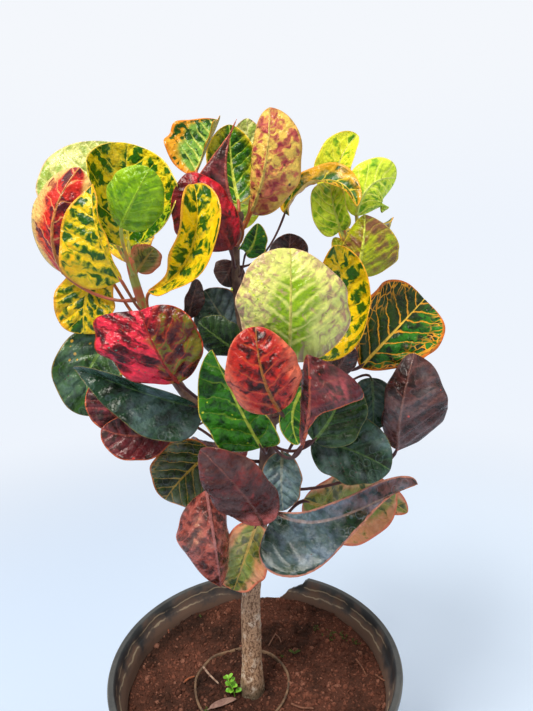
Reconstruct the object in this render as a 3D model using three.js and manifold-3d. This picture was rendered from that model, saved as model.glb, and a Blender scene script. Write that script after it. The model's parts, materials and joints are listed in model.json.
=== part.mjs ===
// Potted croton: a young croton shrub in a broken-rimmed nursery pot.
// Millimetres, +Z up. The origin is the middle of the pot's flat base, and -Y is the front.
import * as THREE from "three";
import { mergeVertices } from "three/addons/utils/BufferGeometryUtils.js";
import Module from "manifold-3d";

const wasm = await Module();
wasm.setup();

// Driving dimensions -----------------------------------------------------------------
const GAP = 0.35; // clearance between pieces that touch on the real plant
const GOLDEN_TURN = 137.5; // degrees from one leaf to the next up a stalk
const POT_SIDES = 40;
const POT = {
  rimRadius: 127, height: 220, baseRadius: 88, wall: 2,
  lip: 4, lipHeight: 5, bandHeight: 18, bandStep: 4, floor: 3,
  drainCount: 6, drainRadius: 7, drainCircle: 64, drainSides: 10,
};
// The piece broken out of the rim: [degrees round the pot, height of the broken edge]
const RIM_BREAK = [[62, 222], [66, 214], [73, 206], [78, 197], [88, 196], [98, 198], [99, 222]];
const SOIL = { middle: 184, bank: 8, tilt: 5, tiltTowards: 75, clod: 1.2, rings: 4 };
const RING = { x: -14, y: 5, radius: 43, wall: 1.6, top: 187, bottom: 172, sides: 32 };
const SEEDLING = {
  root: [-20, -6, 176], top: [-25, -4, 199], stem: 0.7, leaf: 5, count: 8, firstLeaf: 188, holeDepth: 15,
};
const DRY_LEAF = { from: [-40, -20], to: [-19, -13], width: 8, arch: 1.5, lift: 1.0 };
const LEAF = {
  thickness: 0.8, rows: 7, columns: 2, shape: [0.5, 0.6],
  petiole: 1.2, petioleSides: 4, petioleSteps: 3, bite: 0.05,
};
const SMALL_LEAF = { rows: 5, columns: 1 };

// Stems: points along the middle, then the radius at the bottom and at the top
const STEMS = {
  trunk: {
    points: [[-4, 0, 150], [-4, 0, 190], [-3, 0, 235], [-2, 0, 274], [4, 2, 324], [11, 4, 364],
      [17, 5, 404], [19, 5, 434], [20, 5, 452]],
    radius: [9.6, 6.2], sides: 10, steps: 12,
  },
  left: {
    points: [[17, 5, 420], [-11, -4, 440], [-42, -14, 460], [-60, -20, 496], [-69, -24, 527],
      [-75, -28, 554], [-77, -30, 570]],
    radius: [4.6, 3.2], sides: 7, steps: 10,
  },
  centre: {
    points: [[20, 5, 446], [10, 6, 475], [2, 5, 506], [-2, 2, 542], [-2, 0, 573], [1, -2, 591],
      [4, -2, 601]],
    radius: [5.2, 2.8], sides: 7, steps: 9,
  },
  right: {
    points: [[18, 5, 430], [45, -6, 458], [72, -10, 492], [86, -6, 526], [86, 0, 551], [84, 5, 570],
      [82, 6, 578]],
    radius: [4.8, 2.8], sides: 7, steps: 10,
  },
};

const COLOURS = {
  potBlack: 0x2b2e32, soil: 0x6b4335, ring: 0x4a4038, seedling: 0x6fae2e, dryLeaf: 0x9a7c74, bark: 0x8a6f5a,
  yellow: 0xe8bd2c, lime: 0xb4cc40, paleLime: 0xcfd878, green: 0x4c9a2c, darkGreen: 0x2c4c30,
  crimson: 0xb83044, maroon: 0x662a36, purple: 0x4e323c, orange: 0xd08a34, pink: 0xc8686e, grey: 0x5c6c70,
};

// Leaves. rib: the midrib from blade base to tip, by 3 or 4 points. face: which way the upper side looks,
// and faceTip: which way it has turned at the tip. wide: twice the half-width left and right of the rib,
// seen on the upper side with the tip up. shape: how blunt the base and the tip are, for both halves or for
// each. cup: how far each half curls up, and fold: how far it is folded up at the rib, in degrees. lobe:
// how far the base of each half reaches back past the rib's foot. slant: how far each half leans back.
// stem and at: the stem that bears the leaf, and the height there.
const LEAVES = [
  { name: "left_lime_back", stem: "left", at: 566, colour: "paleLime",
    rib: [[-106, 12, 618], [-107, 20, 642], [-99, 22, 660]], face: [0, -1, 0.3],
    wide: [88, 34], shape: [[0.4, 0.4], [0.9, 0.35]], cup: [10, 10], slant: [0.5, -0.45] },
  { name: "left_red", stem: "left", at: 540, colour: "crimson",
    rib: [[-125, -30, 560], [-120, -54, 594], [-102, -44, 630]], face: [-0.2, 1, 0],
    wide: [56, 54], shape: [[0.5, 0.5], [0.5, 0.4]], cup: [-5, 0], fold: [0, 48] },
  { name: "left_yellow_low", stem: "left", at: 532, colour: "yellow",
    rib: [[-77, -56, 554], [-86, -66, 582], [-91, -56, 617]], face: [-0.2, -1, 0.1],
    wide: [58, 16], shape: [[0.35, 0.85], [0.6, 0.6]], cup: [25, 10], fold: [5, 30] },
  { name: "left_yellow_cup", stem: "left", at: 574, colour: "yellow",
    rib: [[-81, -12, 578], [-82, -4, 616], [-77, -8, 652]], face: [0, -1, 0.1],
    wide: [98, 108], shape: [[0.5, 0.5], [0.4, 0.4]], cup: [118, 45], fold: [10, 12] },
  { name: "left_green_front", stem: "left", at: 558, colour: "green",
    rib: [[-73, -62, 589], [-58, -80, 606], [-48, -80, 622]], face: [0, 1, 0.2],
    wide: [38, 38], shape: [0.45, 0.45], cup: [30, 30] },
  { name: "left_yellow_curl", stem: "left", at: 512, colour: "yellow",
    rib: [[-62, -45, 546], [-34, -58, 563], [-23, -66, 588], [-24, -62, 614]], face: [-0.3, -0.5, 0.8],
    wide: [28, 48], faceTip: [-0.35, -0.95, 0.1], shape: [[1.2, 0.5], [0.8, 0.6]], cup: [10, 30],
    fold: [70, 0] },
  { name: "left_yellow_hang", stem: "left", at: 522, colour: "yellow",
    rib: [[-108, -6, 561], [-115, -18, 540], [-119, -16, 514]], face: [0, -1, 0.3],
    wide: [48, 44], shape: [0.5, 0.4] },
  { name: "left_orange_small", stem: "left", at: 545, colour: "orange", small: true,
    rib: [[-80, 5, 559], [-73, 7, 569], [-67, 15, 577]], face: [0, -1, 0.1],
    wide: [26, 26] },
  { name: "centre_orange", stem: "centre", at: 590, colour: "orange",
    rib: [[-31, 20, 636], [-23, 29, 654], [-13, 38, 677]], face: [0, -1, 0.2],
    wide: [64, 56], cup: [10, 20], fold: [5, 70], lobe: [0.2, 0], slant: [0.1, 0] },
  { name: "centre_green_cup", stem: "centre", at: 600, colour: "green",
    rib: [[2, 6, 608], [-3, 16, 638], [-3, 12, 667]], face: [0.1, -1, 0],
    wide: [48, 48], cup: [60, 60] },
  { name: "centre_lime_back", stem: "centre", at: 590, colour: "lime",
    rib: [[10, 28, 609], [10, 36, 645], [10, 32, 676]], face: [0, -1, 0],
    wide: [40, 38], cup: [30, 30] },
  { name: "centre_maroon_horn", stem: "centre", at: 578, colour: "maroon",
    rib: [[5, -25, 589], [-5, -30, 627], [4, -24, 662]], face: [-0.1, 1, 0.1],
    wide: [56, 74], shape: [0.5, 2.4], cup: [20, 20], fold: [80, 0] },
  { name: "centre_maroon_back", stem: "centre", at: 560, colour: "crimson",
    rib: [[-4, -30, 573], [-16, -38, 599], [-34, -34, 624]], face: [0, 1, -0.1],
    wide: [36, 62], shape: [0.5, 0.5], cup: [40, 40] },
  { name: "centre_pink", stem: "centre", at: 588, colour: "pink",
    rib: [[11, -12, 599], [22, -34, 626], [27, -27, 668]], face: [-0.1, 1, 0],
    wide: [52, 34], shape: [[0.5, 0.45], [0.8, 0.4]], cup: [20, 40], fold: [-5, 35] },
  { name: "centre_arch", stem: "centre", at: 560, colour: "orange",
    rib: [[37, 10, 600], [50, 0, 616], [71, -14, 620], [87, -26, 600]], face: [0, -0.6, 0.8],
    wide: [28, 30], shape: [[0.5, 0.6], [0.3, 0.8]], cup: [20, 20], fold: [20, 10] },
  { name: "centre_small_green", stem: "centre", at: 552, colour: "green", small: true,
    rib: [[6, -10, 570], [12, -25, 576], [16, -36, 590]], face: [0.3, -1, 0.1],
    wide: [20, 20] },
  { name: "centre_dark_low", stem: "centre", at: 556, colour: "maroon", small: true,
    rib: [[-4, 5, 564], [-9, 7, 555], [-15, 5, 547]], face: [0, 1, 0],
    wide: [26, 26] },
  { name: "centre_brown_back", stem: "centre", at: 530, colour: "purple",
    rib: [[41, 30, 551], [41, 32, 569], [42, 25, 585]], face: [0, 1, 0],
    wide: [34, 34] },
  { name: "right_yellow_top", stem: "right", at: 572, colour: "yellow",
    rib: [[81, 28, 610], [84, 35, 641], [99, 38, 662]], face: [0, -1, 0.1],
    wide: [40, 36], cup: [20, 20], fold: [5, 50] },
  { name: "right_yellow_low", stem: "right", at: 580, colour: "lime",
    rib: [[80, 5, 585], [74, -2, 602], [72, 5, 621]], face: [0.1, -1, 0.1],
    wide: [40, 26], shape: [0.4, 0.5], cup: [20, 20], fold: [5, 50] },
  { name: "right_lime_curl", stem: "right", at: 566, colour: "lime",
    rib: [[93, 10, 596], [99, 0, 614], [125, 15, 624]], face: [0, 1, 0.2],
    wide: [52, 36], shape: [[0.5, 0.5], [0.5, 0.35]], cup: [30, 30] },
  { name: "right_olive", stem: "right", at: 532, colour: "lime",
    rib: [[88, -14, 550], [92, -22, 571], [95, -14, 595]], face: [0, 1, 0],
    wide: [62, 36], cup: [30, 30], fold: [0, 30] },
  { name: "right_small_left", stem: "right", at: 542, colour: "lime", small: true,
    rib: [[84, 8, 553], [80, 3, 566], [75, 5, 580]], face: [0.3, -1, 0],
    wide: [16, 16] },
  { name: "mid_lime_big", stem: "centre", at: 474, colour: "paleLime",
    rib: [[34, -82, 510], [35, -92, 540], [36, -84, 571]], face: [0, 1, 0.1],
    wide: [80, 70], shape: [[0.4, 0.65], [0.4, 0.45]], cup: [50, 50], fold: [-15, -15],
    lobe: [0.35, 0.35] },
  { name: "mid_red_round", stem: "centre", at: 460, colour: "crimson",
    rib: [[26, -92, 470], [16, -105, 498], [13, -98, 525]], face: [0, 1, 0.1],
    wide: [48, 48], shape: [0.45, 0.5], cup: [40, 40], fold: [-8, -8] },
  { name: "mid_orange_cup", stem: "right", at: 468, colour: "yellow",
    rib: [[53, -45, 495], [74, -26, 525], [69, -40, 573]], face: [-0.3, -1, 0.1],
    wide: [50, 72], cup: [40, 80], fold: [10, 5] },
  { name: "mid_orange_veined", stem: "right", at: 484, colour: "darkGreen",
    rib: [[93, -5, 478], [120, -2, 505], [148, 12, 529]], face: [0, -1, 0.1],
    wide: [70, 66], shape: [0.75, 0.4], cup: [10, 10], fold: [0, 10] },
  { name: "mid_purple_right", stem: "trunk", at: 376, colour: "purple",
    rib: [[121, -14, 412], [120, -32, 455], [131, -22, 491]], face: [-0.1, 1, 0],
    wide: [84, 30], shape: [[0.2, 0.34], [0.5, 0.5]], cup: [30, 30], fold: [-5, 30] },
  { name: "mid_purple_small", stem: "right", at: 476, colour: "purple", small: true,
    rib: [[72, -15, 477], [79, -12, 487], [85, -15, 497]], face: [0, 1, 0],
    wide: [24, 24] },
  { name: "mid_maroon_arch", stem: "trunk", at: 418, colour: "maroon",
    rib: [[40, -84, 442], [45, -96, 476], [45, -88, 505]], face: [0.1, 1, 0],
    wide: [78, 18], shape: [[3.2, 0.25], [0.6, 0.5]], cup: [66, 20], fold: [-5, 40], slant: [0.55, 0] },
  { name: "mid_green_round", stem: "trunk", at: 414, colour: "darkGreen",
    rib: [[52, -40, 431], [68, -38, 453], [76, -35, 478]], face: [0, -1, 0.1],
    wide: [48, 48], cup: [10, 10] },
  { name: "mid_green_tail", stem: "trunk", at: 438, colour: "green", small: true,
    rib: [[45, -42, 472], [36, -48, 452], [40, -50, 432]], face: [0.2, -1, 0.1],
    wide: [22, 22] },
  { name: "mid_dark_rim", stem: "right", at: 446, colour: "darkGreen",
    rib: [[104, 5, 467], [103, -7, 449], [102, -10, 427]], face: [0, -1, 0.2],
    wide: [34, 34] },
  { name: "mid_dark_big", stem: "trunk", at: 392, colour: "darkGreen",
    rib: [[52, -22, 425], [80, -32, 420], [110, -36, 404]], face: [0, -0.8, 0.6],
    wide: [56, 56] },
  { name: "mid_bright_green", stem: "trunk", at: 412, colour: "green",
    rib: [[13, -40, 427], [-4, -54, 468], [-19, -50, 504]], face: [-0.2, -0.95, 0.2],
    wide: [56, 40], shape: [[0.4, 0.6], [0.4, 1.8]], cup: [25, 20], fold: [0, 10] },
  { name: "mid_crimson", stem: "left", at: 454, colour: "crimson",
    rib: [[-43, -58, 483], [-54, -76, 512], [-62, -72, 535]], face: [0, 1, 0.2],
    wide: [62, 72], shape: [[0.5, 0.35], [0.4, 0.14]], cup: [10, 10], fold: [-5, -5], slant: [0, -0.3] },
  { name: "mid_dark_left", stem: "left", at: 486, colour: "darkGreen",
    rib: [[-98, 0, 508], [-117, -12, 489], [-120, -8, 447]], face: [0, -1, 0.2],
    wide: [54, 54] },
  { name: "mid_long_green", stem: "left", at: 442, colour: "darkGreen",
    rib: [[-35, -34, 459], [-68, -40, 471], [-97, -44, 484], [-121, -40, 492]], face: [0, -1, 0.4],
    wide: [62, 34], shape: [[0.35, 1.1], [0.5, 0.6]], cup: [20, 10], fold: [0, 70], lobe: [0.2, 0] },
  { name: "mid_maroon_low", stem: "trunk", at: 398, colour: "maroon",
    rib: [[-58, -18, 441], [-84, -26, 435], [-108, -30, 443]], face: [0, -1, 0.4],
    wide: [40, 40] },
  { name: "mid_maroon_up", stem: "left", at: 448, colour: "maroon",
    rib: [[-95, -12, 440], [-105, -21, 457], [-116, -20, 475]], face: [0, -1, 0.2],
    wide: [30, 30] },
  { name: "mid_grey_upper", stem: "centre", at: 490, colour: "darkGreen",
    rib: [[-6, 18, 500], [-18, 22, 521], [-30, 22, 542]], face: [0, -1, 0.3],
    wide: [46, 46] },
  { name: "mid_grey_strip", stem: "left", at: 500, colour: "purple", small: true,
    rib: [[-44, 12, 519], [-39, 10, 535], [-34, 14, 551]], face: [0.8, -0.6, 0],
    wide: [22, 22] },
  { name: "mid_dark_under", stem: "centre", at: 480, colour: "purple",
    rib: [[-4, 0, 493], [-21, -6, 508], [-34, 0, 518]], face: [0, 1, 0.3],
    wide: [34, 34] },
  { name: "low_orange_veined", stem: "trunk", at: 384, colour: "orange",
    rib: [[-29, 0, 410], [-51, -8, 394], [-69, -5, 372]], face: [0, -1, 0.2],
    wide: [58, 58] },
  { name: "low_purple_diag", stem: "trunk", at: 362, colour: "purple",
    rib: [[12, -55, 373], [-7, -78, 417], [-28, -75, 440]], face: [0, 1, 0.2],
    wide: [42, 50], cup: [40, 40], fold: [-10, -10] },
  { name: "low_red_left", stem: "trunk", at: 360, colour: "crimson",
    rib: [[-31, -32, 391], [-25, -52, 364], [-22, -48, 319]], face: [0.1, 1, 0.1],
    wide: [68, 44], shape: [[0.42, 0.8], [0.5, 0.6]], cup: [30, 30], fold: [0, 60] },
  { name: "low_green_orange", stem: "trunk", at: 324, colour: "orange",
    rib: [[6, -22, 356], [-3, -32, 335], [-14, -30, 304]], face: [0, -1, 0.1],
    wide: [40, 40], shape: [0.35, 0.45] },
  { name: "low_grey_tail", stem: "trunk", at: 352, colour: "grey",
    rib: [[22, -26, 368], [54, -42, 367], [90, -44, 379], [133, -30, 389]], face: [0, -0.9, 0.4],
    wide: [26, 84], shape: [[0.7, 0.4], [0.4, 3]], cup: [20, 20] },
  { name: "low_orange_back", stem: "trunk", at: 340, colour: "orange",
    rib: [[46, 0, 365], [82, 8, 353], [128, 20, 362]], face: [0, -0.9, 0.3],
    wide: [62, 62] },
  { name: "low_orange_far", stem: "trunk", at: 356, colour: "orange",
    rib: [[72, 34, 356], [113, 46, 347], [146, 46, 327]], face: [0, -1, 0.2],
    wide: [34, 34] },
  { name: "low_dark_centre", stem: "trunk", at: 394, colour: "darkGreen",
    rib: [[29, -24, 417], [27, -32, 396], [28, -30, 371]], face: [0, -1, 0.2],
    wide: [32, 32] },
  { name: "back_left_high", stem: "left", at: 562, colour: "yellow",
    rib: [[-88, 12, 566], [-98, 44, 588], [-108, 78, 578]], face: [0, 0.3, 1],
    wide: [48, 48] },
  { name: "back_left_low", stem: "left", at: 490, colour: "darkGreen",
    rib: [[-62, 16, 484], [-76, 50, 498], [-90, 86, 484]], face: [0, 0.3, 1],
    wide: [54, 54] },
  { name: "back_centre_high", stem: "centre", at: 570, colour: "lime",
    rib: [[0, 28, 590], [-6, 60, 614], [-10, 92, 612]], face: [0, 0.3, 1],
    wide: [48, 48] },
  { name: "back_centre_low", stem: "centre", at: 505, colour: "maroon",
    rib: [[10, 42, 522], [14, 74, 536], [16, 106, 522]], face: [0, 0.3, 1],
    wide: [52, 52] },
  { name: "back_right_high", stem: "right", at: 556, colour: "yellow",
    rib: [[96, 34, 570], [112, 62, 588], [122, 94, 578]], face: [0, 0.3, 1],
    wide: [46, 46] },
  { name: "back_right_low", stem: "right", at: 506, colour: "darkGreen",
    rib: [[80, 24, 506], [94, 60, 520], [104, 98, 504]], face: [0, 0.3, 1],
    wide: [54, 54] },
  { name: "back_middle", stem: "trunk", at: 424, colour: "darkGreen",
    rib: [[30, 40, 444], [35, 80, 456], [38, 116, 440]], face: [0, 0.3, 1],
    wide: [56, 56] },
  { name: "back_low_left", stem: "trunk", at: 372, colour: "maroon",
    rib: [[-14, 32, 384], [-30, 66, 394], [-48, 98, 376]], face: [0, 0.3, 1],
    wide: [50, 50] },
  { name: "back_low_right", stem: "trunk", at: 386, colour: "darkGreen",
    rib: [[40, 34, 404], [62, 66, 414], [84, 98, 396]], face: [0, 0.3, 1],
    wide: [50, 50] },
];

// Plain geometry helpers ---------------------------------------------------------------
const V = (p) => new THREE.Vector3(...p);
const pair = (value) => (Array.isArray(value) ? value : [value, value]);
const radians = THREE.MathUtils.degToRad;

function meshOf(points, faces) {
  const geometry = new THREE.BufferGeometry();
  const positions = points.flatMap((p) => [p.x, p.y, p.z]);
  geometry.setAttribute("position", new THREE.Float32BufferAttribute(positions, 3));
  geometry.setIndex(faces.flat());
  return geometry;
}

function solidOf(geometry) {
  const bare = geometry.clone();
  bare.deleteAttribute("normal");
  bare.deleteAttribute("uv");
  const merged = mergeVertices(bare, 1e-4);
  const mesh = new wasm.Mesh({
    numProp: 3,
    vertProperties: new Float32Array(merged.attributes.position.array),
    triVerts: new Uint32Array(merged.index.array),
  });
  return new wasm.Manifold(mesh);
}

// The largest body of a solid: pockets sealed by a join are filled, and loose scraps dropped
function geometryOf(solid) {
  const [largest] = solid.decompose().sort((a, b) => b.volume() - a.volume());
  const mesh = largest.getMesh();
  const geometry = new THREE.BufferGeometry();
  geometry.setAttribute("position", new THREE.Float32BufferAttribute(mesh.vertProperties, 3));
  geometry.setIndex(Array.from(mesh.triVerts));
  return geometry;
}

// A closed round tube along a curve. radiusAt gives the radius at 0 (start) to 1 (end).
function tube(curve, radiusAt, sides, steps) {
  const frames = curve.computeFrenetFrames(steps, false);
  const points = [];
  const faces = [];
  for (let i = 0; i <= steps; i += 1) {
    const centre = curve.getPointAt(i / steps);
    for (let j = 0; j < sides; j += 1) {
      const angle = (2 * Math.PI * j) / sides;
      const radius = radiusAt(i / steps);
      points.push(centre.clone()
        .addScaledVector(frames.normals[i], radius * Math.cos(angle))
        .addScaledVector(frames.binormals[i], radius * Math.sin(angle)));
    }
  }
  for (let i = 0; i < steps; i += 1) {
    for (let j = 0; j < sides; j += 1) {
      const a = i * sides + j;
      const b = i * sides + ((j + 1) % sides);
      faces.push([a, b, b + sides], [a, b + sides, a + sides]);
    }
  }
  const last = steps * sides;
  for (let j = 1; j < sides - 1; j += 1) {
    faces.push([0, j + 1, j], [last, last + j, last + j + 1]);
  }
  return meshOf(points, faces);
}

// Stems --------------------------------------------------------------------------------
const stemCurve = (name) => new THREE.CatmullRomCurve3(STEMS[name].points.map(V), false, "centripetal");
const stemRadius = (name, along) => THREE.MathUtils.lerp(...STEMS[name].radius, along);

function stemTube(name) {
  const { sides, steps } = STEMS[name];
  return tube(stemCurve(name), (along) => stemRadius(name, along), sides, steps);
}

// The middle, direction and radius of a stem at a height
function stemAt(name, height) {
  const curve = stemCurve(name);
  let low = 0;
  let high = 1;
  for (let i = 0; i < 24; i += 1) {
    const middle = (low + high) / 2;
    if (curve.getPointAt(middle).z < height) low = middle;
    else high = middle;
  }
  return { point: curve.getPointAt(low), along: curve.getTangentAt(low), radius: stemRadius(name, low) };
}

// Leaves -------------------------------------------------------------------------------
// The midrib is one smooth curve through its points
function ribCurve(points) {
  const stops = [0];
  for (let i = 1; i < points.length; i += 1) stops.push(stops[i - 1] + points[i].distanceTo(points[i - 1]));
  const length = stops[stops.length - 1];
  const at = (s) => {
    const place = new THREE.Vector3();
    points.forEach((point, i) => {
      let weight = 1;
      stops.forEach((stop, j) => {
        if (j !== i) weight *= (s - stop / length) / ((stops[i] - stop) / length);
      });
      place.addScaledVector(point, weight);
    });
    return place;
  };
  const tangent = (s) => at(s + 1e-3).sub(at(s - 1e-3)).normalize();
  return { at, tangent };
}

// How far the blade reaches at s, as a share of its widest
function outlineOf(blunt, taper) {
  const widest = blunt / (blunt + taper);
  const full = widest ** blunt * (1 - widest) ** taper;
  return (s) => (s ** blunt * (1 - s) ** taper) / full;
}

// Points of the blade's middle surface, row by row from base to tip and from left to right
function bladeGrid(leaf, rows, columns) {
  const rib = ribCurve(leaf.rib.map(V));
  const shape = leaf.shape ?? LEAF.shape;
  const shapes = Array.isArray(shape[0]) ? shape : [shape, shape];
  const sides = [0, 1].map((side) => ({
    outline: outlineOf(shapes[side][0], shapes[side][1]),
    half: leaf.wide[side] / 2,
    curl: radians(pair(leaf.cup ?? 20)[side]) / (leaf.wide[side] / 2),
    fold: radians(pair(leaf.fold ?? 0)[side]),
    lobe: pair(leaf.lobe ?? 0)[side],
    slant: pair(leaf.slant ?? 0)[side],
  }));
  const grid = [];
  for (let i = 0; i <= rows; i += 1) {
    const s = (1 - Math.cos((Math.PI * i) / rows)) / 2;
    const middle = rib.at(s);
    const along = rib.tangent(s);
    const face = V(leaf.face).lerp(V(leaf.faceTip ?? leaf.face), s);
    const up = face.clone().addScaledVector(along, -face.dot(along)).normalize();
    const across = new THREE.Vector3().crossVectors(along, up);
    const row = [];
    for (let j = -columns; j <= columns; j += 1) {
      const u = Math.abs(j) / columns;
      const { outline, half, curl, fold, lobe, slant } = sides[j < 0 ? 0 : 1];
      const reach = u * half * outline(s);
      const bent = Math.abs(curl) > 1e-6;
      const out = bent ? (Math.sin(fold + curl * reach) - Math.sin(fold)) / curl : reach * Math.cos(fold);
      const rise = bent ? (Math.cos(fold) - Math.cos(fold + curl * reach)) / curl : reach * Math.sin(fold);
      const back = lobe * half * u ** 1.6 * (1 - s) ** 3 + slant * reach;
      row.push(middle.clone().addScaledVector(across, Math.sign(j) * out)
        .addScaledVector(up, rise).addScaledVector(along, -back));
    }
    grid.push(row);
  }
  return { grid, rib };
}

// Gives the blade its thickness: two like sheets joined round the margin
function bladeSolid(grid, thickness) {
  const rows = grid.length - 1;
  const columns = grid[0].length;
  const edge = new THREE.Vector3();
  const points = [];
  const sheetNormal = (i, j) => {
    const low = grid[Math.max(i - 1, 0)];
    const high = grid[Math.min(i + 1, rows)];
    const left = Math.max(j - 1, 0);
    const right = Math.min(j + 1, columns - 1);
    const here = grid[Math.min(Math.max(i, 1), rows - 1)];
    edge.subVectors(high[j], low[j]);
    return new THREE.Vector3().subVectors(here[right], here[left]).cross(edge).normalize();
  };
  for (const side of [1, -1]) {
    const lift = (side * thickness) / 2;
    const put = (i, j) => points.push(grid[i][j].clone().addScaledVector(sheetNormal(i, j), lift));
    put(0, (columns - 1) / 2);
    for (let i = 1; i < rows; i += 1) {
      for (let j = 0; j < columns; j += 1) put(i, j);
    }
    put(rows, (columns - 1) / 2);
  }
  const sheet = points.length / 2;
  const at = (i, j) => (i === 0 ? 0 : i === rows ? sheet - 1 : 1 + (i - 1) * columns + j);
  const faces = [];
  const face = (a, b, c) => {
    if (a === b || b === c || a === c) return;
    faces.push([a, b, c], [a + sheet, c + sheet, b + sheet]);
  };
  for (let i = 0; i < rows; i += 1) {
    for (let j = 0; j < columns - 1; j += 1) {
      face(at(i, j), at(i, j + 1), at(i + 1, j + 1));
      face(at(i, j), at(i + 1, j + 1), at(i + 1, j));
    }
  }
  const margin = [];
  for (let i = 0; i < rows; i += 1) margin.push([at(i, 0), at(i + 1, 0)]);
  for (let i = rows; i > 0; i -= 1) margin.push([at(i, columns - 1), at(i - 1, columns - 1)]);
  for (const [a, b] of margin) faces.push([a, b, b + sheet], [a, b + sheet, a + sheet]);
  return meshOf(points, faces);
}

// The stalk from the stem's skin to the foot of the blade
function petioleCurve(leaf, rib) {
  const stem = stemAt(leaf.stem, leaf.at);
  const foot = rib.at(0);
  const away = foot.clone().sub(stem.point);
  away.addScaledVector(stem.along, -away.dot(stem.along)).normalize();
  const start = stem.point.clone().addScaledVector(away, leaf.small ? stem.radius / 2 : stem.radius + GAP);
  const span = start.distanceTo(foot);
  const end = rib.at(LEAF.bite);
  const lead = start.clone().addScaledVector(away, span * 0.35);
  const trail = foot.clone().addScaledVector(rib.tangent(0), -span * 0.3);
  return new THREE.CubicBezierCurve3(start, lead, trail, end);
}

function leafSolid(leaf) {
  const { rows, columns } = leaf.small ? SMALL_LEAF : LEAF;
  const { grid, rib } = bladeGrid(leaf, rows, columns);
  const blade = solidOf(bladeSolid(grid, LEAF.thickness));
  const stalk = tube(petioleCurve(leaf, rib), () => LEAF.petiole, LEAF.petioleSides, LEAF.petioleSteps);
  return blade.add(solidOf(stalk));
}

// The woody stem with its branches and the smallest leaves, which grow from it in one body
function plantStem() {
  let solid = solidOf(stemTube("trunk"));
  for (const name of ["left", "centre", "right"]) solid = solid.add(solidOf(stemTube(name)));
  for (const leaf of LEAVES.filter(({ small }) => small)) solid = solid.add(leafSolid(leaf));
  return geometryOf(solid);
}

// Pot ----------------------------------------------------------------------------------
// Outside radius of the tapered wall at a height
const wallRadius = (z) => THREE.MathUtils.lerp(POT.baseRadius, POT.rimRadius - POT.lip - POT.bandStep,
  z / POT.height);

function potProfile() {
  const { rimRadius, height, baseRadius, wall, lip, lipHeight, bandHeight, bandStep, floor } = POT;
  const band = height - bandHeight;
  const profile = [
    [0, 0], [baseRadius - 1, 0], [baseRadius, 1.5], [wallRadius(band), band],
    [wallRadius(band) + bandStep, band + bandStep], [rimRadius - lip, height - lipHeight],
    [rimRadius, height - lipHeight], [rimRadius, height - 1], [rimRadius - 1, height],
    [rimRadius - lip - wall, height],
    [wallRadius(band) + bandStep - wall, band + bandStep + wall], [wallRadius(band) - wall, band],
    [baseRadius - wall, floor], [0, floor],
  ];
  return profile.map(([radius, z]) => new THREE.Vector2(radius, z));
}

function lathe(profile, sides) {
  const geometry = new THREE.LatheGeometry(profile, sides);
  return geometry.rotateX(Math.PI / 2);
}

// A block that follows the rim round and takes out what is above the broken edge
function rimBreak() {
  const inner = POT.baseRadius;
  const depth = POT.rimRadius + 10 - inner;
  const edge = [];
  RIM_BREAK.slice(1).forEach(([angle, z], i) => {
    const [fromAngle, fromZ] = RIM_BREAK[i];
    const steps = Math.max(1, Math.round((angle - fromAngle) / 4));
    for (let k = 0; k < steps; k += 1) {
      const along = k / steps;
      edge.push([THREE.MathUtils.lerp(fromAngle, angle, along), THREE.MathUtils.lerp(fromZ, z, along)]);
    }
  });
  edge.push(RIM_BREAK[RIM_BREAK.length - 1]);
  const top = edge.map(([angle]) => [angle, POT.height + 10]).reverse();
  const shape = new THREE.Shape([...edge, ...top].map(([angle, z]) => new THREE.Vector2(angle, z)));
  const geometry = new THREE.ExtrudeGeometry(shape, { depth, bevelEnabled: false, steps: 1 });
  const position = geometry.attributes.position;
  for (let i = 0; i < position.count; i += 1) {
    const angle = radians(position.getX(i));
    const radius = inner + position.getZ(i);
    position.setXYZ(i, radius * Math.cos(angle), radius * Math.sin(angle), position.getY(i));
  }
  return geometry;
}

function pot() {
  const { drainCount, drainRadius, drainCircle, drainSides, floor } = POT;
  let solid = solidOf(lathe(potProfile(), POT_SIDES)).subtract(solidOf(rimBreak()));
  for (let i = 0; i < drainCount; i += 1) {
    const angle = (2 * Math.PI * i) / drainCount;
    const drill = new THREE.CylinderGeometry(drainRadius, drainRadius, floor * 4, drainSides);
    drill.rotateX(Math.PI / 2).translate(drainCircle * Math.cos(angle), drainCircle * Math.sin(angle), 0);
    solid = solid.subtract(solidOf(drill));
  }
  return geometryOf(solid);
}

// The rim of the small pot that the cutting was raised in, left buried round the trunk
function ringProfile(clearance) {
  const { radius, wall, top, bottom } = RING;
  const inner = radius - wall - clearance;
  const outer = radius + clearance;
  const low = bottom - clearance;
  return [[inner, low], [outer, low], [outer, top], [inner, top], [inner, low]]
    .map(([r, z]) => new THREE.Vector2(r, z));
}

function nurseryRing(clearance = 0) {
  return lathe(ringProfile(clearance), RING.sides).translate(RING.x, RING.y, 0);
}

// Soil ---------------------------------------------------------------------------------
function soilHeight(x, y) {
  const edge = potInside(SOIL.middle);
  const turn = radians(SOIL.tiltTowards);
  const out = Math.hypot(x, y) / edge;
  const uphill = (x * Math.cos(turn) + y * Math.sin(turn)) / edge;
  const clods = Math.sin(x * 0.13 + y * 0.05) * Math.cos(y * 0.11 - x * 0.04) * Math.min(1, out * 1.5);
  return SOIL.middle + SOIL.bank * out * out + SOIL.tilt * uphill + SOIL.clod * clods;
}

// Inside radius of the pot's tapered wall at a height
function potInside(z) {
  const band = POT.height - POT.bandHeight;
  const along = (z - POT.floor) / (band - POT.floor);
  return THREE.MathUtils.lerp(POT.baseRadius, wallRadius(band), along) - POT.wall;
}

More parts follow.
